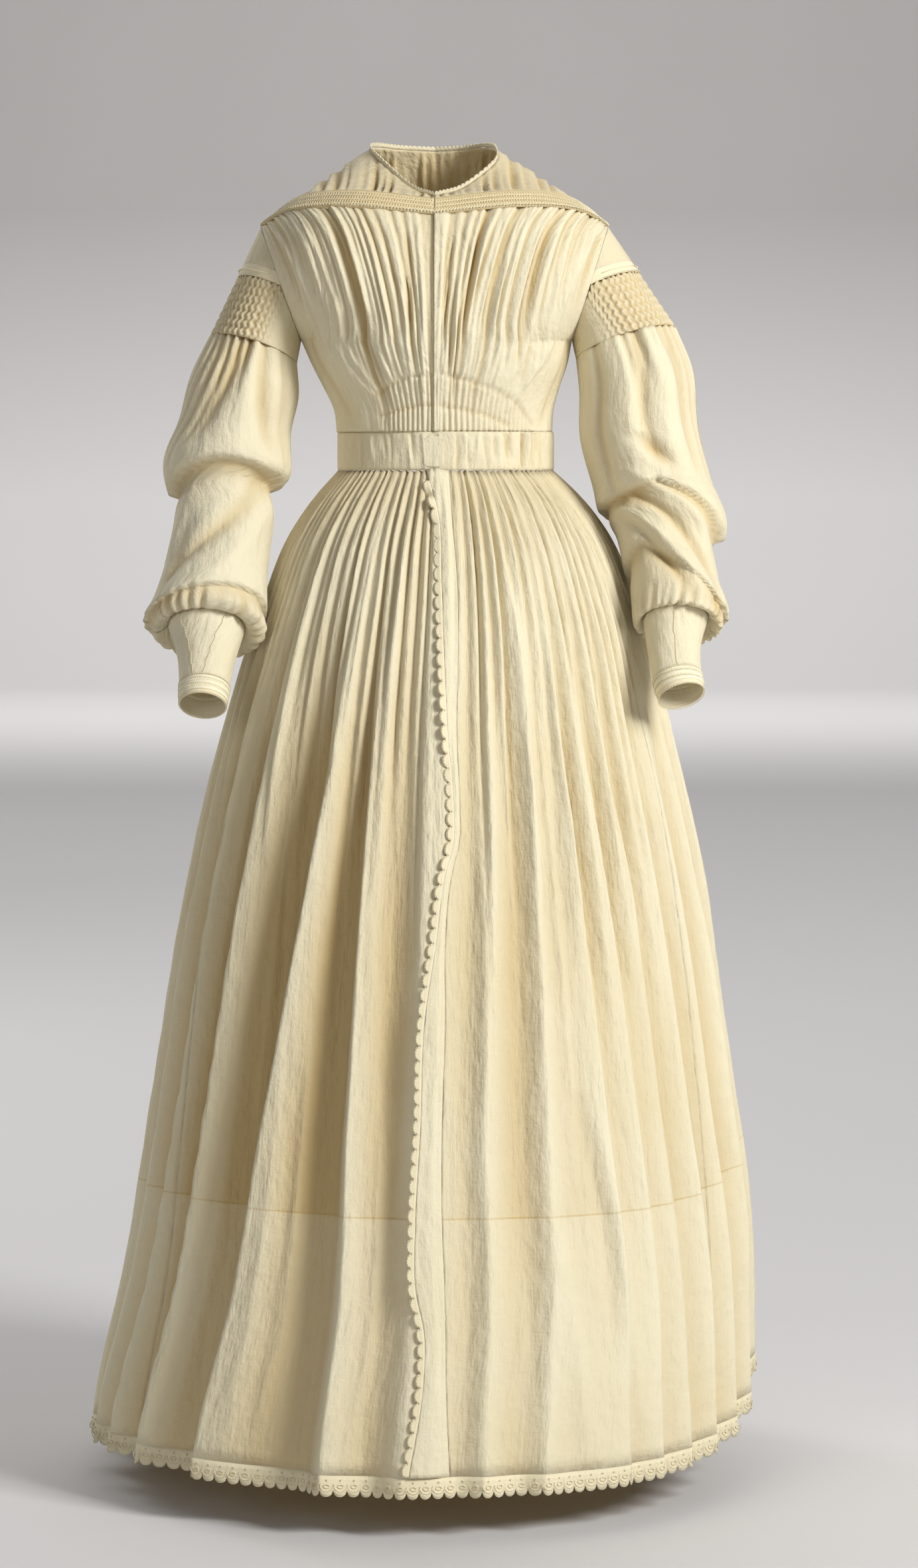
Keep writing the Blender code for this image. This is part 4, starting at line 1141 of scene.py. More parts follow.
class DRESS_OT_hem(bpy.types.Operator):
    """Scalloped edging under the hem"""

    bl_idname = "dress.hem"
    bl_label = "Hem edging"

    def execute(self, context):
        trim = context.scene.dress_trim
        steps = SCALLOP_STEPS
        count = HEM_SCALLOPS * steps
        column, level = grid(np.arange(count), np.linspace(0, 1, 5))
        turn = (column / count * 2 - 1) * math.pi
        within = (column / steps) % 1
        tooth = 0.68 + 0.32 * scallop(within)
        fall = 1 + level * EDGING_DROP * tooth / (WAIST_SEAM - HEM)
        points = skirt(turn, fall)
        lift = skirt_lift(turn, np.minimum(fall, 1))
        outer = lifted(points, lift, skirt_core(points))
        piece = cloth("hem_scallops", outer, skirt_core(points), named("edging"), trim.wall, closed=True)
        worn(piece, "hem_edging")
        middles = slice(steps // 2, None, steps)
        top, low = outer[0], outer[-1]
        places = top[middles]
        along = along_of(top)[middles]
        out = unit(np.cross(along, (top - low)[middles]))
        sewn("hem_motifs", places + out * 0.0002, along, out, motif(), named("edging"))
        line = outer[0] + (outer[0] - outer[1]) * 0.8
        out = -aim(line, skirt_core(line))
        sew("hem_stitches", line, out, 0.0034, running(), size=0.7, finish="cotton")
        return {"FINISHED"}


class DRESS_OT_opening(bpy.types.Operator):
    """Facing strip of the front opening and its scalloped edging"""

    bl_idname = "dress.opening"
    bl_label = "Front opening"

    def execute(self, context):
        trim, wall = context.scene.dress_trim, context.scene.dress_cloth.wall
        share, fall = grid(np.linspace(0, 1, 13), np.linspace(0, 1, 221))
        x = mix(smooth(OPENING, "edge", fall), smooth(OPENING, "seam", fall), share)
        turn = skirt_turn(x, fall)
        points = skirt(turn, fall)
        lift = skirt_lift(turn, fall) + LAP * (1 - ease(0.5, 1, share))
        strip = lifted(points, lift, skirt_core(points))
        facing = cloth("opening_strip", strip, skirt_core(points), named("cotton"), wall)
        falls = np.linspace(0.012, 0.999, OPENING_SCALLOPS * SCALLOP_STEPS + 1)
        edge, within = points_at(falls, fall[:, 0], strip[:, 0]), points_at(falls, fall[:, 0], strip[:, 4])
        outwards = aim(within, edge)
        phase = (np.arange(len(falls)) / SCALLOP_STEPS) % 1
        tooth = 0.0035 + 0.0050 * scallop(phase)
        reach = np.linspace(1, 0, 5)[None, :, None]
        points = edge[:, None] + outwards[:, None] * tooth[:, None, None] * reach
        edging = cloth("opening_scallops", points, skirt_core(points), named("edging"), trim.wall)
        worn(edging, "placket_edging")
        out = -aim(strip, skirt_core(strip))
        line, normal = strip[:, 10], out[:, 10]
        sew("opening_stitches", line, normal, 0.0033, running(), size=0.7, finish="cotton")
        outer_edge = edge + outwards * (tooth - 0.0006)[:, None]
        normal = -aim(outer_edge, skirt_core(outer_edge))
        sew("opening_picots", outer_edge, normal, 0.0034, picot(), size=0.8, rise=0.0004)
        worn(facing, "placket")
        return {"FINISHED"}


def waist_form(turn, z):
    """The waistband's upright section."""
    reach = np.where(np.cos(turn) > 0, SKIRT["front"][0], SKIRT["back"][0])
    x = SKIRT["middle"][0] + SKIRT["half"][0] * np.sin(turn)
    return np.stack([x, -reach * np.cos(turn), z], -1)


def band_wrinkles(name):
    """Upright wrinkles of the waistband, closest together on the left front."""
    rng = np.random.default_rng(len(name) + 40)
    spans = {"front_r": (-62, -5, 9), "front_l": (-1, 62, 20), "back": (95, 265, 22)}
    low, high, count = spans[name]
    rows = []
    for place in rng.uniform(low, high, count):
        top, foot = rng.choice([-0.4, 0.0]), rng.choice([0.75, 1.2])
        height = rng.choice([-0.0024, -0.0016, 0.0016])
        rows.append((top, foot, place, place + rng.uniform(-4, 4), rng.uniform(-1, 1), 1.3, height, 0.2))
    return rows


class DRESS_OT_waist(bpy.types.Operator):
    """Waistband and its tab"""

    bl_idname = "dress.waist"
    bl_label = "Waistband"

    def execute(self, context):
        wall = context.scene.dress_cloth.wall
        side, lap = math.radians(88), math.radians(WAIST_LAP)
        for name, start, end, flat in (
            ("front_r", -side, lap, (0.17, 0.04)),
            ("front_l", lap, side, (0.18, 0.04)),
            ("back", side, 2 * math.pi - side, (0.33, 0.04)),
        ):
            turn, z = grid(np.linspace(start, end, 170), np.linspace(WAIST_TOP, WAIST_SEAM, 17))
            points = waist_form(turn, z)
            level = (WAIST_TOP - z) / (WAIST_TOP - WAIST_SEAM)
            edge = ease(0, 0.06, level) * (1 - ease(0.94, 1, level))
            lift = drapes(band_wrinkles(name), np.degrees(turn), level) * edge + 0.0008 * edge
            outer = lifted(points, lift, spine(points))
            # Painted shade: darker in the troughs of the wrinkles, on a slightly darker tone all along the
            # band.
            hollow = np.clip(0.20 - lift / 0.009, 0, 1)
            label = "waistband_length_" + name
            piece = cloth(label, outer, spine(points), named("cotton"), wall, hollow=hollow)
            worn(piece, "waistband_" + name)
        across, level = grid(np.linspace(0, 1, 17), np.linspace(1, 0, 25))
        turn = np.radians(mix(*TAB_TURNS, across))
        corner = 0.004 * np.abs(2 * across - 1) ** 4 * (2 * level - 1) ** 3
        points = waist_form(turn, mix(*TAB_LEVELS, level) - corner)
        outer = lifted(points, 0 * turn + wall + SEAM, spine(points))
        piece = cloth("waistband_tab", outer, spine(points), named("cotton"), wall)
        worn(piece, "waist_tab")
        return {"FINISHED"}


# Creases of each front, one by one: falls from the band and places across at both ends, bow, width, height,
# lean
BODICE_CREASES = {
    -1: (
        (0.02, 0.80, 0.90, 0.42, 0.06, 0.030, 0.0040, 0.2),
        (0.02, 0.86, 0.74, 0.36, 0.05, 0.022, 0.0045, 0.2),
        (0.06, 0.82, 0.68, 0.33, 0.03, 0.018, 0.0040, 0.3),
        (0.02, 0.80, 0.56, 0.28, 0.03, 0.020, 0.0045, 0.2),
        (0.02, 0.78, 0.44, 0.22, 0.02, 0.018, 0.0040, 0.2),
        (0.02, 0.76, 0.33, 0.17, 0.01, 0.018, 0.0035, 0.2),
        (0.02, 0.78, 0.20, 0.11, 0.00, 0.018, 0.0035, 0.2),
        (0.02, 0.96, 0.06, 0.05, 0.00, 0.014, 0.0030, 0.0),
        (0.45, 0.98, 0.80, 0.62, 0.02, 0.050, -0.0030, 0.0),
        (0.50, 0.99, 0.62, 0.50, -0.03, 0.030, 0.0030, 0.0),
    ),
    1: (
        (0.02, 0.80, 0.92, 0.48, 0.06, 0.028, 0.0040, -0.2),
        (0.02, 0.92, 0.78, 0.40, 0.06, 0.022, 0.0045, -0.2),
        (0.04, 0.86, 0.66, 0.33, 0.04, 0.018, 0.0045, -0.2),
        (0.02, 0.84, 0.55, 0.27, 0.03, 0.020, 0.0045, -0.2),
        (0.02, 0.82, 0.45, 0.23, 0.02, 0.016, 0.0040, -0.2),
        (0.02, 0.78, 0.35, 0.18, 0.01, 0.016, 0.0040, -0.2),
        (0.02, 0.76, 0.25, 0.13, 0.01, 0.016, 0.0040, -0.2),
        (0.02, 0.74, 0.14, 0.09, 0.00, 0.016, 0.0035, -0.2),
        (0.02, 0.98, 0.04, 0.04, 0.00, 0.010, 0.0030, 0.0),
        (0.55, 0.99, 0.84, 0.70, 0.02, 0.050, -0.0030, 0.0),
    ),
}

# The two stitched rows over the midriff on each front: places across and their rise
SHIRRING_ROWS = {
    -1: (
        ((0.00, 0.26), (0.12, 0.25), (0.24, 0.21), (0.37, 0.16)),
        ((0.00, 0.125), (0.15, 0.11), (0.36, 0.07)),
    ),
    1: (
        ((0.00, 0.27), (0.13, 0.24), (0.30, 0.19), (0.46, 0.13), (0.62, 0.03)),
        ((0.00, 0.12), (0.15, 0.10), (0.30, 0.07), (0.42, 0.03)),
    ),
}


def shirring(side, across, rise):
    """How far a point lies under the upper stitched row, and the puckers and grooves there."""
    places, rises = np.array(SHIRRING_ROWS[side][0]).T
    end = places[-1]
    row = np.interp(across, places, rises)
    under = (1 - ease(-0.015, 0.025, rise - row)) * (1 - ease(0.85 * end, 1.05 * end, across))
    puckers = -0.0022 * (1 - np.abs(np.cos(math.pi * across / 0.032 + 0.6 * np.sin(9 * rise))))
    lift = puckers * under
    for line in SHIRRING_ROWS[side]:
        places, rises = np.array(line).T
        groove = np.exp(-(((rise - np.interp(across, places, rises)) / 0.010) ** 2))
        lift -= 0.0018 * groove * (1 - ease(places[-1], places[-1] + 0.03, across))
    return under, lift


def loose_gathers(seed, count):
    """Small gathers of the fronts that start and end at places of their own."""
    rng = np.random.default_rng(seed)
    rows = []
    for place in rng.uniform(0.06, 0.95, count):
        top, foot = rng.choice([-0.2, -0.2, 0.10, 0.30]), rng.uniform(0.45, 1.0)
        end = place + rng.uniform(-0.035, 0.035)
        height = rng.choice([-0.0042, -0.0030, 0.0024])
        rows.append((top, foot, place, end, rng.uniform(-0.02, 0.02), rng.uniform(0.006, 0.016), height, 0.2))
    return rows


class DRESS_OT_bodice(bpy.types.Operator):
    """Gathered fronts and back"""

    bl_idname = "dress.bodice"
    bl_label = "Bodice"

    def execute(self, context):
        wall = context.scene.dress_cloth.wall
        for side in (-1, 1):
            share, rise = grid(np.linspace(0, 1, FRONT_GRID[0]), np.linspace(1, 0, FRONT_GRID[1]))
            across = front_gather(share, rise)
            points = bodice(side, 1, across, rise)
            rng = np.random.default_rng(21 + side)
            crests = jittered(rng, 0, 1, FRONT_CRESTS, 0.016)
            depths = rng.uniform(0.10, 1.3, FRONT_CRESTS - 1)
            swell = np.interp(rise, np.linspace(0, 1, 6), rng.uniform(0.55, 1.1, 6))
            height = (0.0010 + 0.0036 * ease(0.15, 0.45, rise) * (1 - 0.35 * ease(0.8, 1, rise))) * swell
            near = 1 - ease(0.58, 0.74, share) * (1 - ease(0.50, 0.90, rise))
            gathers = pleats(crests, depths, share + 0.006 * np.sin(5 * rise + 20 * share)) * height * near
            creases = drapes(BODICE_CREASES[side], across, 1 - rise)
            creases += drapes(loose_gathers(31 + side, LOOSE_GATHERS), share, 1 - rise) * near
            shirred, rows = shirring(side, across, rise)
            edge = ease(0, 0.04, share) * (1 - ease(0.96, 1, share))
            lift = np.minimum(gathers * (1 - shirred) + creases, 0.004) * edge + rows
            strip = 1 - ease(0.050, 0.062, share)
            lift = lift * (1 - 0.6 * strip) + (0.0016 if side > 0 else -0.0016) * strip
            outer = lifted(points, lift, spine(points))
            name = side_name(side)
            # Painted shade in the valleys of the gathers and creases.
            hollow = np.clip(-lift / 0.006, 0, 1)
            piece = cloth("bodice_panel_" + name, outer, spine(points), named("cotton"), wall, hollow=hollow)
            worn(piece, "bodice_front_" + name)
        across, rise = grid(np.linspace(-1, 1, BACK_GRID[0]), np.linspace(1, 0, BACK_GRID[1]))
        left, right = bodice(1, -1, np.abs(across), rise), bodice(-1, -1, np.abs(across), rise)
        points = np.where((across < 0)[..., None], right, left)
        crests = np.linspace(-1, 1, BACK_CRESTS)
        depths = np.random.default_rng(5).uniform(0.5, 1.2, BACK_CRESTS - 1)
        height = 0.0010 + 0.0030 * np.sin(math.pi * rise)
        near = 1 - ease(0.30, 0.48, np.abs(across)) * (1 - ease(0.45, 0.95, rise))
        lift = pleats(crests, depths, across) * height * near * (1 - ease(0.95, 1, np.abs(across)))
        outer = lifted(points, lift, spine(points))
        piece = cloth("bodice_panel_back", outer, spine(points), named("cotton"), wall)
        worn(piece, "bodice_back")
        return {"FINISHED"}


class DRESS_OT_yoke(bpy.types.Operator):
    """Falling yoke, its herringbone band and the neck's edging"""

    bl_idname = "dress.yoke"
    bl_label = "Yoke"

    def execute(self, context):
        trim, wall = context.scene.dress_trim, context.scene.dress_cloth.wall
        turn, level = grid(np.linspace(0.3, 359.7, NECK_SCALLOPS * NECK_STEPS + 1), [1, 0.5, 0])
        points = yoke(np.where(turn > 180, turn - 360, turn), 1 + 0 * level)
        phase = (np.arange(turn.shape[1]) / NECK_STEPS) % 1
        points[..., 2] += level * (0.0030 + 0.0018 * scallop(phase))
        edging = cloth("neck_scallops", points, points * [0, 0, 1], named("edging"), trim.wall)
        worn(edging, "neck_edging")
        for name, turns, flat, length in (
            ("front_r", np.linspace(-90, -0.1, 120), (0.17, 0.085), 0.21),
            ("front_l", np.linspace(0.1, 90, 120), (0.17, 0.085), 0.21),
            ("back", np.linspace(90, 270, 180), (0.45, 0.085), 0.40),
        ):
            turn, up = grid(np.where(turns > 180, turns - 360, turns), np.linspace(1, 0, 26))
            points = yoke(turn, up)
            rng = np.random.default_rng(11)
            crests = jittered(rng, -YOKE_REACH, YOKE_REACH, YOKE_CRESTS, 0.004)
            depths = rng.uniform(0.15, 1.3, YOKE_CRESTS - 1)
            swell = np.sin(math.pi * (0.10 + 0.88 * up)) ** 0.7
            lift = pleats(crests, depths, points[..., 0] * (1 + 0.06 * up)) * 0.0062 * swell
            outer = lifted(points, lift, spine(points))
            # Painted shade in the valleys of the gathers, on a darker tone all over.
            hollow = np.clip(0.35 - lift / 0.0060, 0, 1)
            piece = cloth("yoke_length_" + name, outer, spine(points), named("cotton"), wall, hollow=hollow)
            worn(piece, "yoke_" + name)
            turn, down = grid(turn[0], np.linspace(0, 1, 9))
            points = band(turn, down)
            # The whole band is mixed 0.75 of the way to the fold colour, darker all over.
            label, hollow = "band_length_" + name, 0.75 + 0 * down
            piece = cloth(label, points, spine(points), named("band"), wall, hollow=hollow)
            worn(piece, "band_" + name)
            out = -aim(points, spine(points))
            for row in (2, 4, 6):
                label, line, normal = f"band_herringbone_{name}_{row}", points[row], out[row]
                sew(label, line, normal, 0.0028, chevron(), size=1.45, rise=0.0005, finish="band")
            foot, top = points[-1], points[0]
            sew("band_cord_" + name, foot, out[-1], 0.0034, picot(), size=1.6, rise=0.0014)
            sew("band_upper_cord_" + name, top, out[0], 0.0022, running(), size=1.2, rise=0.0004)
        return {"FINISHED"}


# Long folds of each sleeve, one by one: ways and degrees round the arm at both ends, bow, width, height,
# lean. Angle 0 is the outer side and 90 the front
BAG_FOLDS = {
    -1: (
        (-0.03, 0.125, 92, 55, 0, 9, -0.0080, 0.0),
        (-0.03, 0.130, 104, 138, -8, 9, -0.0080, 0.0),
        (-0.02, 0.140, 98, 100, 0, 13, 0.0030, 0.0),
        (-0.03, 0.140, 76, 40, 0, 5, -0.0050, 0.3),
        (-0.03, 0.150, 62, 26, 0, 5, -0.0050, 0.3),
        (-0.03, 0.150, 46, 12, 0, 5, -0.0045, 0.3),
        (-0.03, 0.150, 28, -5, 0, 5, -0.0045, 0.3),
        (-0.03, 0.140, 128, 160, 0, 7, -0.0040, 0.0),
        (0.150, 0.300, 140, 25, 10, 15, -0.0070, 0.2),
        (0.165, 0.330, 165, 75, 0, 18, 0.0045, 0.0),
        (0.150, 0.260, 60, 20, 0, 14, 0.0040, 0.0),
        (0.200, 0.345, 50, 30, 0, 12, -0.0040, 0.0),
        (-0.03, 0.160, 250, 240, 0, 12, -0.0070, 0.0),
        (-0.02, 0.170, 300, 310, 0, 12, -0.0060, 0.0),
        (0.140, 0.330, 230, 290, 0, 16, -0.0070, 0.0),
    ),
    1: (
        (-0.03, 0.150, 80, 78, 8, 8, -0.0080, 0.0),
        (-0.03, 0.170, 96, 104, 0, 13, 0.0040, 0.0),
        (-0.03, 0.200, 128, 140, 0, 6, -0.0060, 0.0),
        (-0.03, 0.160, 50, 40, -4, 7, -0.0070, 0.0),
        (-0.02, 0.180, 64, 62, 0, 11, 0.0035, 0.0),
        (-0.03, 0.210, 30, 12, 0, 6, -0.0050, 0.0),
        (-0.03, 0.180, 12, 0, 0, 6, -0.0040, 0.0),
        (0.105, 0.150, 100, 62, 0, 10, -0.0070, 0.0),
        (0.140, 0.235, 118, 40, 0, 10, 0.0060, 0.0),
        (0.160, 0.270, 135, 45, 0, 10, -0.0080, 0.0),
        (0.190, 0.310, 150, 60, 0, 10, 0.0050, 0.0),
        (0.215, 0.320, 150, 80, 0, 9, -0.0070, 0.0),
        (0.240, 0.350, 60, 20, 0, 12, -0.0050, 0.0),
        (-0.03, 0.160, 250, 240, 0, 12, -0.0070, 0.0),
        (-0.02, 0.170, 300, 310, 0, 12, -0.0060, 0.0),
        (0.140, 0.330, 230, 290, 0, 16, -0.0070, 0.0),
    ),
}

# Where the cloth of each sleeve hangs over itself: degrees, the way there, and how high it stands
BAG_STEPS = {
    -1: (
        (
            (0, 40, 70, 90, 115, 150, 180, 270, 360),
            (0.160, 0.148, 0.138, 0.134, 0.137, 0.150, 0.157, 0.150, 0.160),
            0.0085,
        ),
        ((0, 40, 90, 140, 180, 270, 360), (0.326, 0.322, 0.312, 0.302, 0.298, 0.315, 0.326), 0.0060),
    ),
    1: (
        (
            (0, 30, 60, 90, 130, 180, 270, 360),
            (0.212, 0.205, 0.180, 0.160, 0.172, 0.180, 0.190, 0.212),
            0.0080,
        ),
        ((0, 40, 90, 140, 180, 270, 360), (0.306, 0.300, 0.275, 0.250, 0.262, 0.290, 0.306), 0.0060),
    ),
}


def bag_folds(side, degrees, way):
    """Long folds, and the lips where the sleeve droops over itself."""
    lift = drapes(BAG_FOLDS[side], degrees, way)
    lift += drapes(BAG_FOLDS[side], degrees - 360, way)
    for turns, ways, height in BAG_STEPS[side]:
        past = way - np.interp(degrees, turns, ways)
        over = np.exp(-((np.minimum(past, 0) / 0.026) ** 2)) * (1 - ease(-0.0015, 0.0035, past))
        under = ease(-0.0015, 0.0035, past) * np.exp(-((np.maximum(past, 0) / 0.022) ** 2))
        lift += height * (0.35 * over - under)
    return lift


class DRESS_OT_sleeves(bpy.types.Operator):
    """Cap, band, shirring and bag of each sleeve"""

    bl_idname = "dress.sleeves"
    bl_label = "Sleeves"

    def execute(self, context):
        wall = context.scene.dress_cloth.wall
        for side in (-1, 1):
            name = side_name(side)
            table = sleeve_table(side)
            head_core = ring_middle(side, table, np.array(0.0))
            for piece, node, low, high, columns_out, finish, slot, flat in (
                (
                    "sleeve_cap_cloth_",
                    "sleeve_cap_",
                    0,
                    HEAD_BAND,
                    CAP_COLUMNS,
                    "cotton",
                    "ivory_cotton",
                    (0.14, 0.046),
                ),
                (
                    "sleeve_band_length_",
                    "sleeve_band_",
                    HEAD_BAND,
                    HEAD_SHIRRING,
                    BAND_COLUMNS,
                    "band",
                    "herringbone_band",
                    (0.16, 0.012),
                ),
            ):
                reach = math.radians(columns_out * 360 / ARM_COLUMNS)
                spread = np.linspace(-reach * REACH_BEHIND, reach * REACH_FRONT, CAP_GRID[0])
                angle, level = grid(spread, np.linspace(0, 1, CAP_GRID[1]))
                start = head_depth(side, armhole(side, angle))
                depth = mix(np.clip(start, low, high - 0.0005), high, level)
                outer = sleeve_head(side, angle, depth)
                # Cap and band are mixed 0.2 of the way to the fold colour, a little darker all over.
                made = cloth(piece + name, outer, head_core, named(finish), wall, hollow=0.2 + 0 * level)
                worn(made, node + name)
                if finish == "band":
                    out = -aim(outer, head_core)
                    inner = slice(8, 73)
                    label, line, normal = "sleeve_herringbone_" + name, outer[8, inner], out[8, inner]
                    sew(label, line, normal, 0.0022, chevron(), size=1.2, rise=0.0002, finish="band")
                    label, line, normal = "sleeve_cord_" + name, outer[-1, inner], out[-1, inner]
                    sew(label, line, normal, 0.0030, picot(), size=0.9, rise=0.0004)
            angle, level = grid(round_angles(SHIRRED_GRID[0]), np.linspace(0, 1, SHIRRED_GRID[1]))
            start = head_depth(side, armhole(side, angle))
            depth = mix(np.maximum(start, HEAD_SHIRRING), HEAD_END, level)
            upper = ease(-0.5, 0.1, np.cos(angle))
            sway = 1.3 * np.sin(STITCHED_ROWS * math.tau * level + 2 * np.sin(5 * angle))
            sway += 0.5 * np.sin(11 * angle)
            crinkle = 0.5 + 0.5 * np.cos(PUCKERS * angle + sway)
            rows = 0.5 + 0.5 * np.cos(STITCHED_ROWS * math.tau * level)
            lift = -upper * (0.0026 * crinkle + 0.0010 * rows**3)
            outer = lifted(sleeve_head(side, angle, depth), lift, head_core)
            # Painted shade in the puckers of the shirring, on a slightly darker tone all round.
            hollow = 0.15 - lift / 0.0040
            label = "shirred_panel_" + name
            made = cloth(label, outer, head_core, named("cotton"), wall, closed=True, hollow=hollow)
            worn(made, "shirring_" + name)
            angle, way = grid(round_angles(BAG_GRID[0]), np.linspace(0, table["way"][-1], BAG_GRID[1]))
            share = way / way[-1]
            rng = np.random.default_rng(60 + side)
            crests = jittered(rng, 0, 1, BAG_CRESTS, 0.012) * 360
            depths = rng.uniform(0.3, 1.3, BAG_CRESTS - 1)
            degrees = np.degrees(angle)
            gathers = pleats(crests, depths, degrees) * 0.0060
            top_full = ease(-0.5, 0.1, np.cos(angle)) * (1 - ease(0.02, 0.20, share))
            low_full = ease(0.84, 0.92, share) * (1 - ease(0.96, 1, share))
            folded = bag_folds(side, degrees, way)
            lift = gathers * (top_full + 0.7 * low_full) + folded * (1 - ease(0.93, 1, share))
            core = ring_middle(side, table, np.minimum(way, BAG_CORE * way[-1]))
            outer = lifted(ring(side, table, angle, way), lift, core)
            # Painted shade in the valleys of the folds and under the drooping lips.
            hollow = np.clip(-lift / 0.011, 0, 1)
            label = "sleeve_bag_" + name
            made = cloth(label, outer, core, named("cotton"), wall, closed=True, hollow=hollow)
            worn(made, "sleeve_" + name)
        return {"FINISHED"}


# The edgings down each cuff: a label, and the degrees round the arm at its top and foot
CUFF_EDGINGS = {
    -1: (("outer_edging", 42, 62), ("inner_edging", 122, 84)),
    1: (("placket_edging", 96, 88),),
}


class DRESS_OT_cuffs(bpy.types.Operator):
    """Fitted cuffs, wristbands and their edgings"""

    bl_idname = "dress.cuffs"
    bl_label = "Cuffs"

    def execute(self, context):
        trim, wall = context.scene.dress_trim, context.scene.dress_cloth.wall
        for side in (-1, 1):
            table = CUFF_L if side > 0 else CUFF_R
            for piece, node, low, high, lift, finish, slot, flat in (
                (
                    "wrist_scallops_",
                    "wrist_edging_",
                    WRISTBAND_END,
                    CUFF_END,
                    0,
                    "edging",
                    "scalloped_edging",
                    None,
                ),
                (
                    "wristband_length_",
                    "wristband_",
                    WRISTBAND_START,
                    WRISTBAND_END,
                    0.0006,
                    "band",
                    "herringbone_band",
                    (0.17, 0.0165),
                ),
                ("cuff_cloth_", "cuff_", 0, WRISTBAND_START, 0, "cotton", "ivory_cotton", (0.20, 0.075)),
            ):
                angle, way = grid(round_angles(CUFF_GRID[0]), np.linspace(low, high, CUFF_GRID[1]))
                core = ring_middle(side, table, way)
                form = ring(side, table, angle, way)
                outer = lifted(form, 0 * angle + lift, core)
                thick = trim.wall if finish == "edging" else wall
                made = cloth(piece + side_name(side), outer, core, named(finish), thick, closed=True)
                worn(made, node + side_name(side))
                out = -aim(outer, core)
                name = side_name(side)
                if finish == "band":
                    for row in (4, 10):
                        label, line, normal = f"wrist_herringbone_{name}_{row}", outer[row], out[row]
                        sew(
                            label, line, normal, 0.0022, chevron(), size=1.1, rise=0.0002, finish="band"
                        )
                    sew("wrist_cord_" + name, outer[0], out[0], 0.0026, picot(), size=0.8, rise=0.0003)
                if finish == "edging":
                    sew("wrist_picots_" + name, outer[-1], out[-1], 0.0030, picot(), rise=0.0004)
                if finish == "cotton":
                    for label, top, foot in CUFF_EDGINGS[side]:
                        columns_round, rows = CUFF_GRID
                        degrees = mix(top, foot, np.linspace(0, 1, rows))
                        at = np.round(degrees / (360 / columns_round)).astype(int) % columns_round
                        line, normal = outer[np.arange(rows), at], out[np.arange(rows), at]
                        sew(f"cuff_{label}_{name}", line, normal, 0.0028, picot(), rise=0.0004)
        return {"FINISHED"}


def turned(made, place, aim_at):
    """Puts a lamp or camera at a place, facing a point."""
    made.location = place
    made.rotation_euler = (Vector(aim_at) - Vector(place)).to_track_quat("-Z", "Y").to_euler()


def lamp(name, place, aim_at, size, power):
    """A soft oblong lamp."""
    data = bpy.data.lights.new(name, "AREA")
    data.shape = "RECTANGLE"
    data.size, data.size_y = size
    data.energy = power
    turned(placed(name, data), place, aim_at)


# The camera's place and the point that it faces
EYE = (0.02555, -5.0, -0.286)
LOOK_AT = (0.02555, 0.0, -0.6167)

# Each lamp's place, the point it faces, its size, and its power as a share of the main lamp's
LAMPS = {
    "key": ((2.9, -2.5, 1.5), (0, 0, -0.45), (1.3, 1.6), 1),
    "fill": ((-2.6, -4.2, 0.6), (0, 0, -0.7), (2.5, 2.5), 0.17),
    "rear": ((-3.2, 3.6, 1.6), (0, 0, -0.6), (1.5, 2.0), 0.28),
    "near_floor": ((0.0, 3.8, 4.2), (0, 3.4, -1.3), (9.0, 2.5), 0.40),
    "backdrop": ((0.0, 14.0, 4.5), (0, 22.0, 0.0), (10.0, 1.5), 3.0),
    "far_floor": ((0.0, 9.0, 5.5), (0, 9.5, -1.3), (14.0, 11.0), 2.2),
}
AIR_COLOUR, AIR_STRENGTH = (0.80, 0.80, 0.84, 1), 0.24

# The sweep of paper: its nearest edge, bend, depth, height and half width
SWEEP_NEAR, SWEEP_BEND, SWEEP_DEPTH, SWEEP_HEIGHT, SWEEP_HALF = -20.0, 4.0, 22.0, 12.0, 20.0


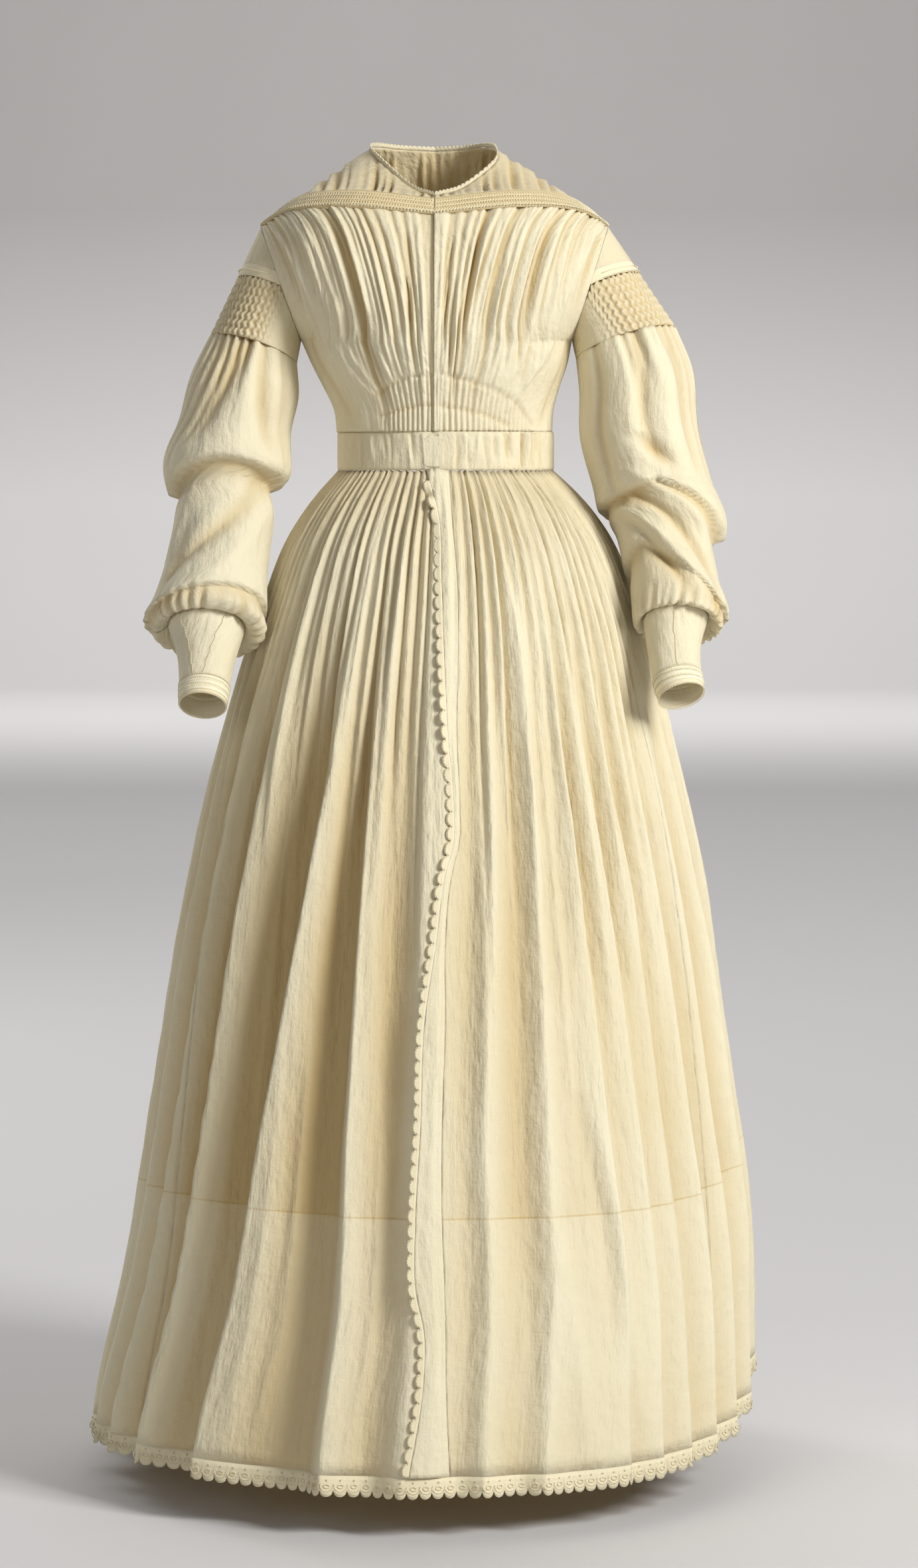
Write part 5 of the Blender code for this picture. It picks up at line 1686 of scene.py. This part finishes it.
class DRESS_OT_stage(bpy.types.Operator):
    """Floor, backdrop, lamps and camera"""

    bl_idname = "dress.stage"
    bl_label = "Stage"

    def execute(self, context):
        stage = context.scene.dress_stage
        bend, depth = SWEEP_BEND, SWEEP_DEPTH
        arc = [math.radians(a) for a in range(0, 91, 5)]
        profile = [(SWEEP_NEAR, stage.floor)]
        profile += [(depth - bend + bend * math.sin(a), stage.floor + bend * (1 - math.cos(a))) for a in arc]
        profile.append((depth, stage.floor + SWEEP_HEIGHT))
        mesh = bmesh.new()
        wide = np.linspace(-SWEEP_HALF, SWEEP_HALF, 5)
        rows = [[mesh.verts.new((x, y, z)) for x in wide] for y, z in profile]
        for near, far in zip(rows, rows[1:]):
            for i in range(len(near) - 1):
                mesh.faces.new((near[i], near[i + 1], far[i + 1], far[i]))
        data = bpy.data.meshes.new("studio_sweep")
        mesh.to_mesh(data)
        mesh.free()
        data.polygons.foreach_set("use_smooth", [True] * len(data.polygons))
        data.materials.append(paper("studio_paper", stage.floor))
        placed("studio_sweep", data)
        for name, (place, aim_at, size, share) in LAMPS.items():
            lamp(name, place, aim_at, size, stage.key * share)
        world = bpy.data.worlds.new("studio_air")
        world.use_nodes = True
        air = world.node_tree.nodes["Background"]
        air.inputs["Color"].default_value = AIR_COLOUR
        air.inputs["Strength"].default_value = AIR_STRENGTH
        context.scene.world = world
        camera = placed("photo_camera", bpy.data.cameras.new("photo_camera"))
        camera.data.lens = stage.lens
        camera.data.sensor_width = 36
        turned(camera, EYE, LOOK_AT)
        context.scene.camera = camera
        context.scene.view_settings.view_transform = "Standard"
        return {"FINISHED"}


class DRESS_PT_panel(bpy.types.Panel):
    """Lists the dress's sizes and makers"""

    bl_label = "Gathered Dress"
    bl_space_type = "VIEW_3D"
    bl_region_type = "UI"
    bl_category = "Dress"

    def draw(self, context):
        for group in (
            context.scene.dress_cloth,
            context.scene.dress_folds,
            context.scene.dress_trim,
            context.scene.dress_stage,
        ):
            box = self.layout.box()
            for name in group.__annotations__:
                box.prop(group, name)
        for operator in OPERATORS:
            self.layout.operator(operator.bl_idname)


GROUPS = {
    "dress_cloth": DressCloth,
    "dress_folds": DressFolds,
    "dress_trim": DressTrim,
    "dress_stage": DressStage,
}
OPERATORS = (
    DRESS_OT_stage,
    DRESS_OT_skirt,
    DRESS_OT_hem,
    DRESS_OT_opening,
    DRESS_OT_waist,
    DRESS_OT_bodice,
    DRESS_OT_yoke,
    DRESS_OT_sleeves,
    DRESS_OT_cuffs,
)


def register():
    for made in (*GROUPS.values(), *OPERATORS, DRESS_PT_panel):
        bpy.utils.register_class(made)
    for name, group in GROUPS.items():
        setattr(bpy.types.Scene, name, PointerProperty(type=group))


def unregister():
    for name in GROUPS:
        delattr(bpy.types.Scene, name)
    for made in reversed((*GROUPS.values(), *OPERATORS, DRESS_PT_panel)):
        bpy.utils.unregister_class(made)


def main():
    register()
    for operator in OPERATORS:
        getattr(bpy.ops.dress, operator.bl_idname.split(".")[1])()


if __name__ == "__main__":
    main()
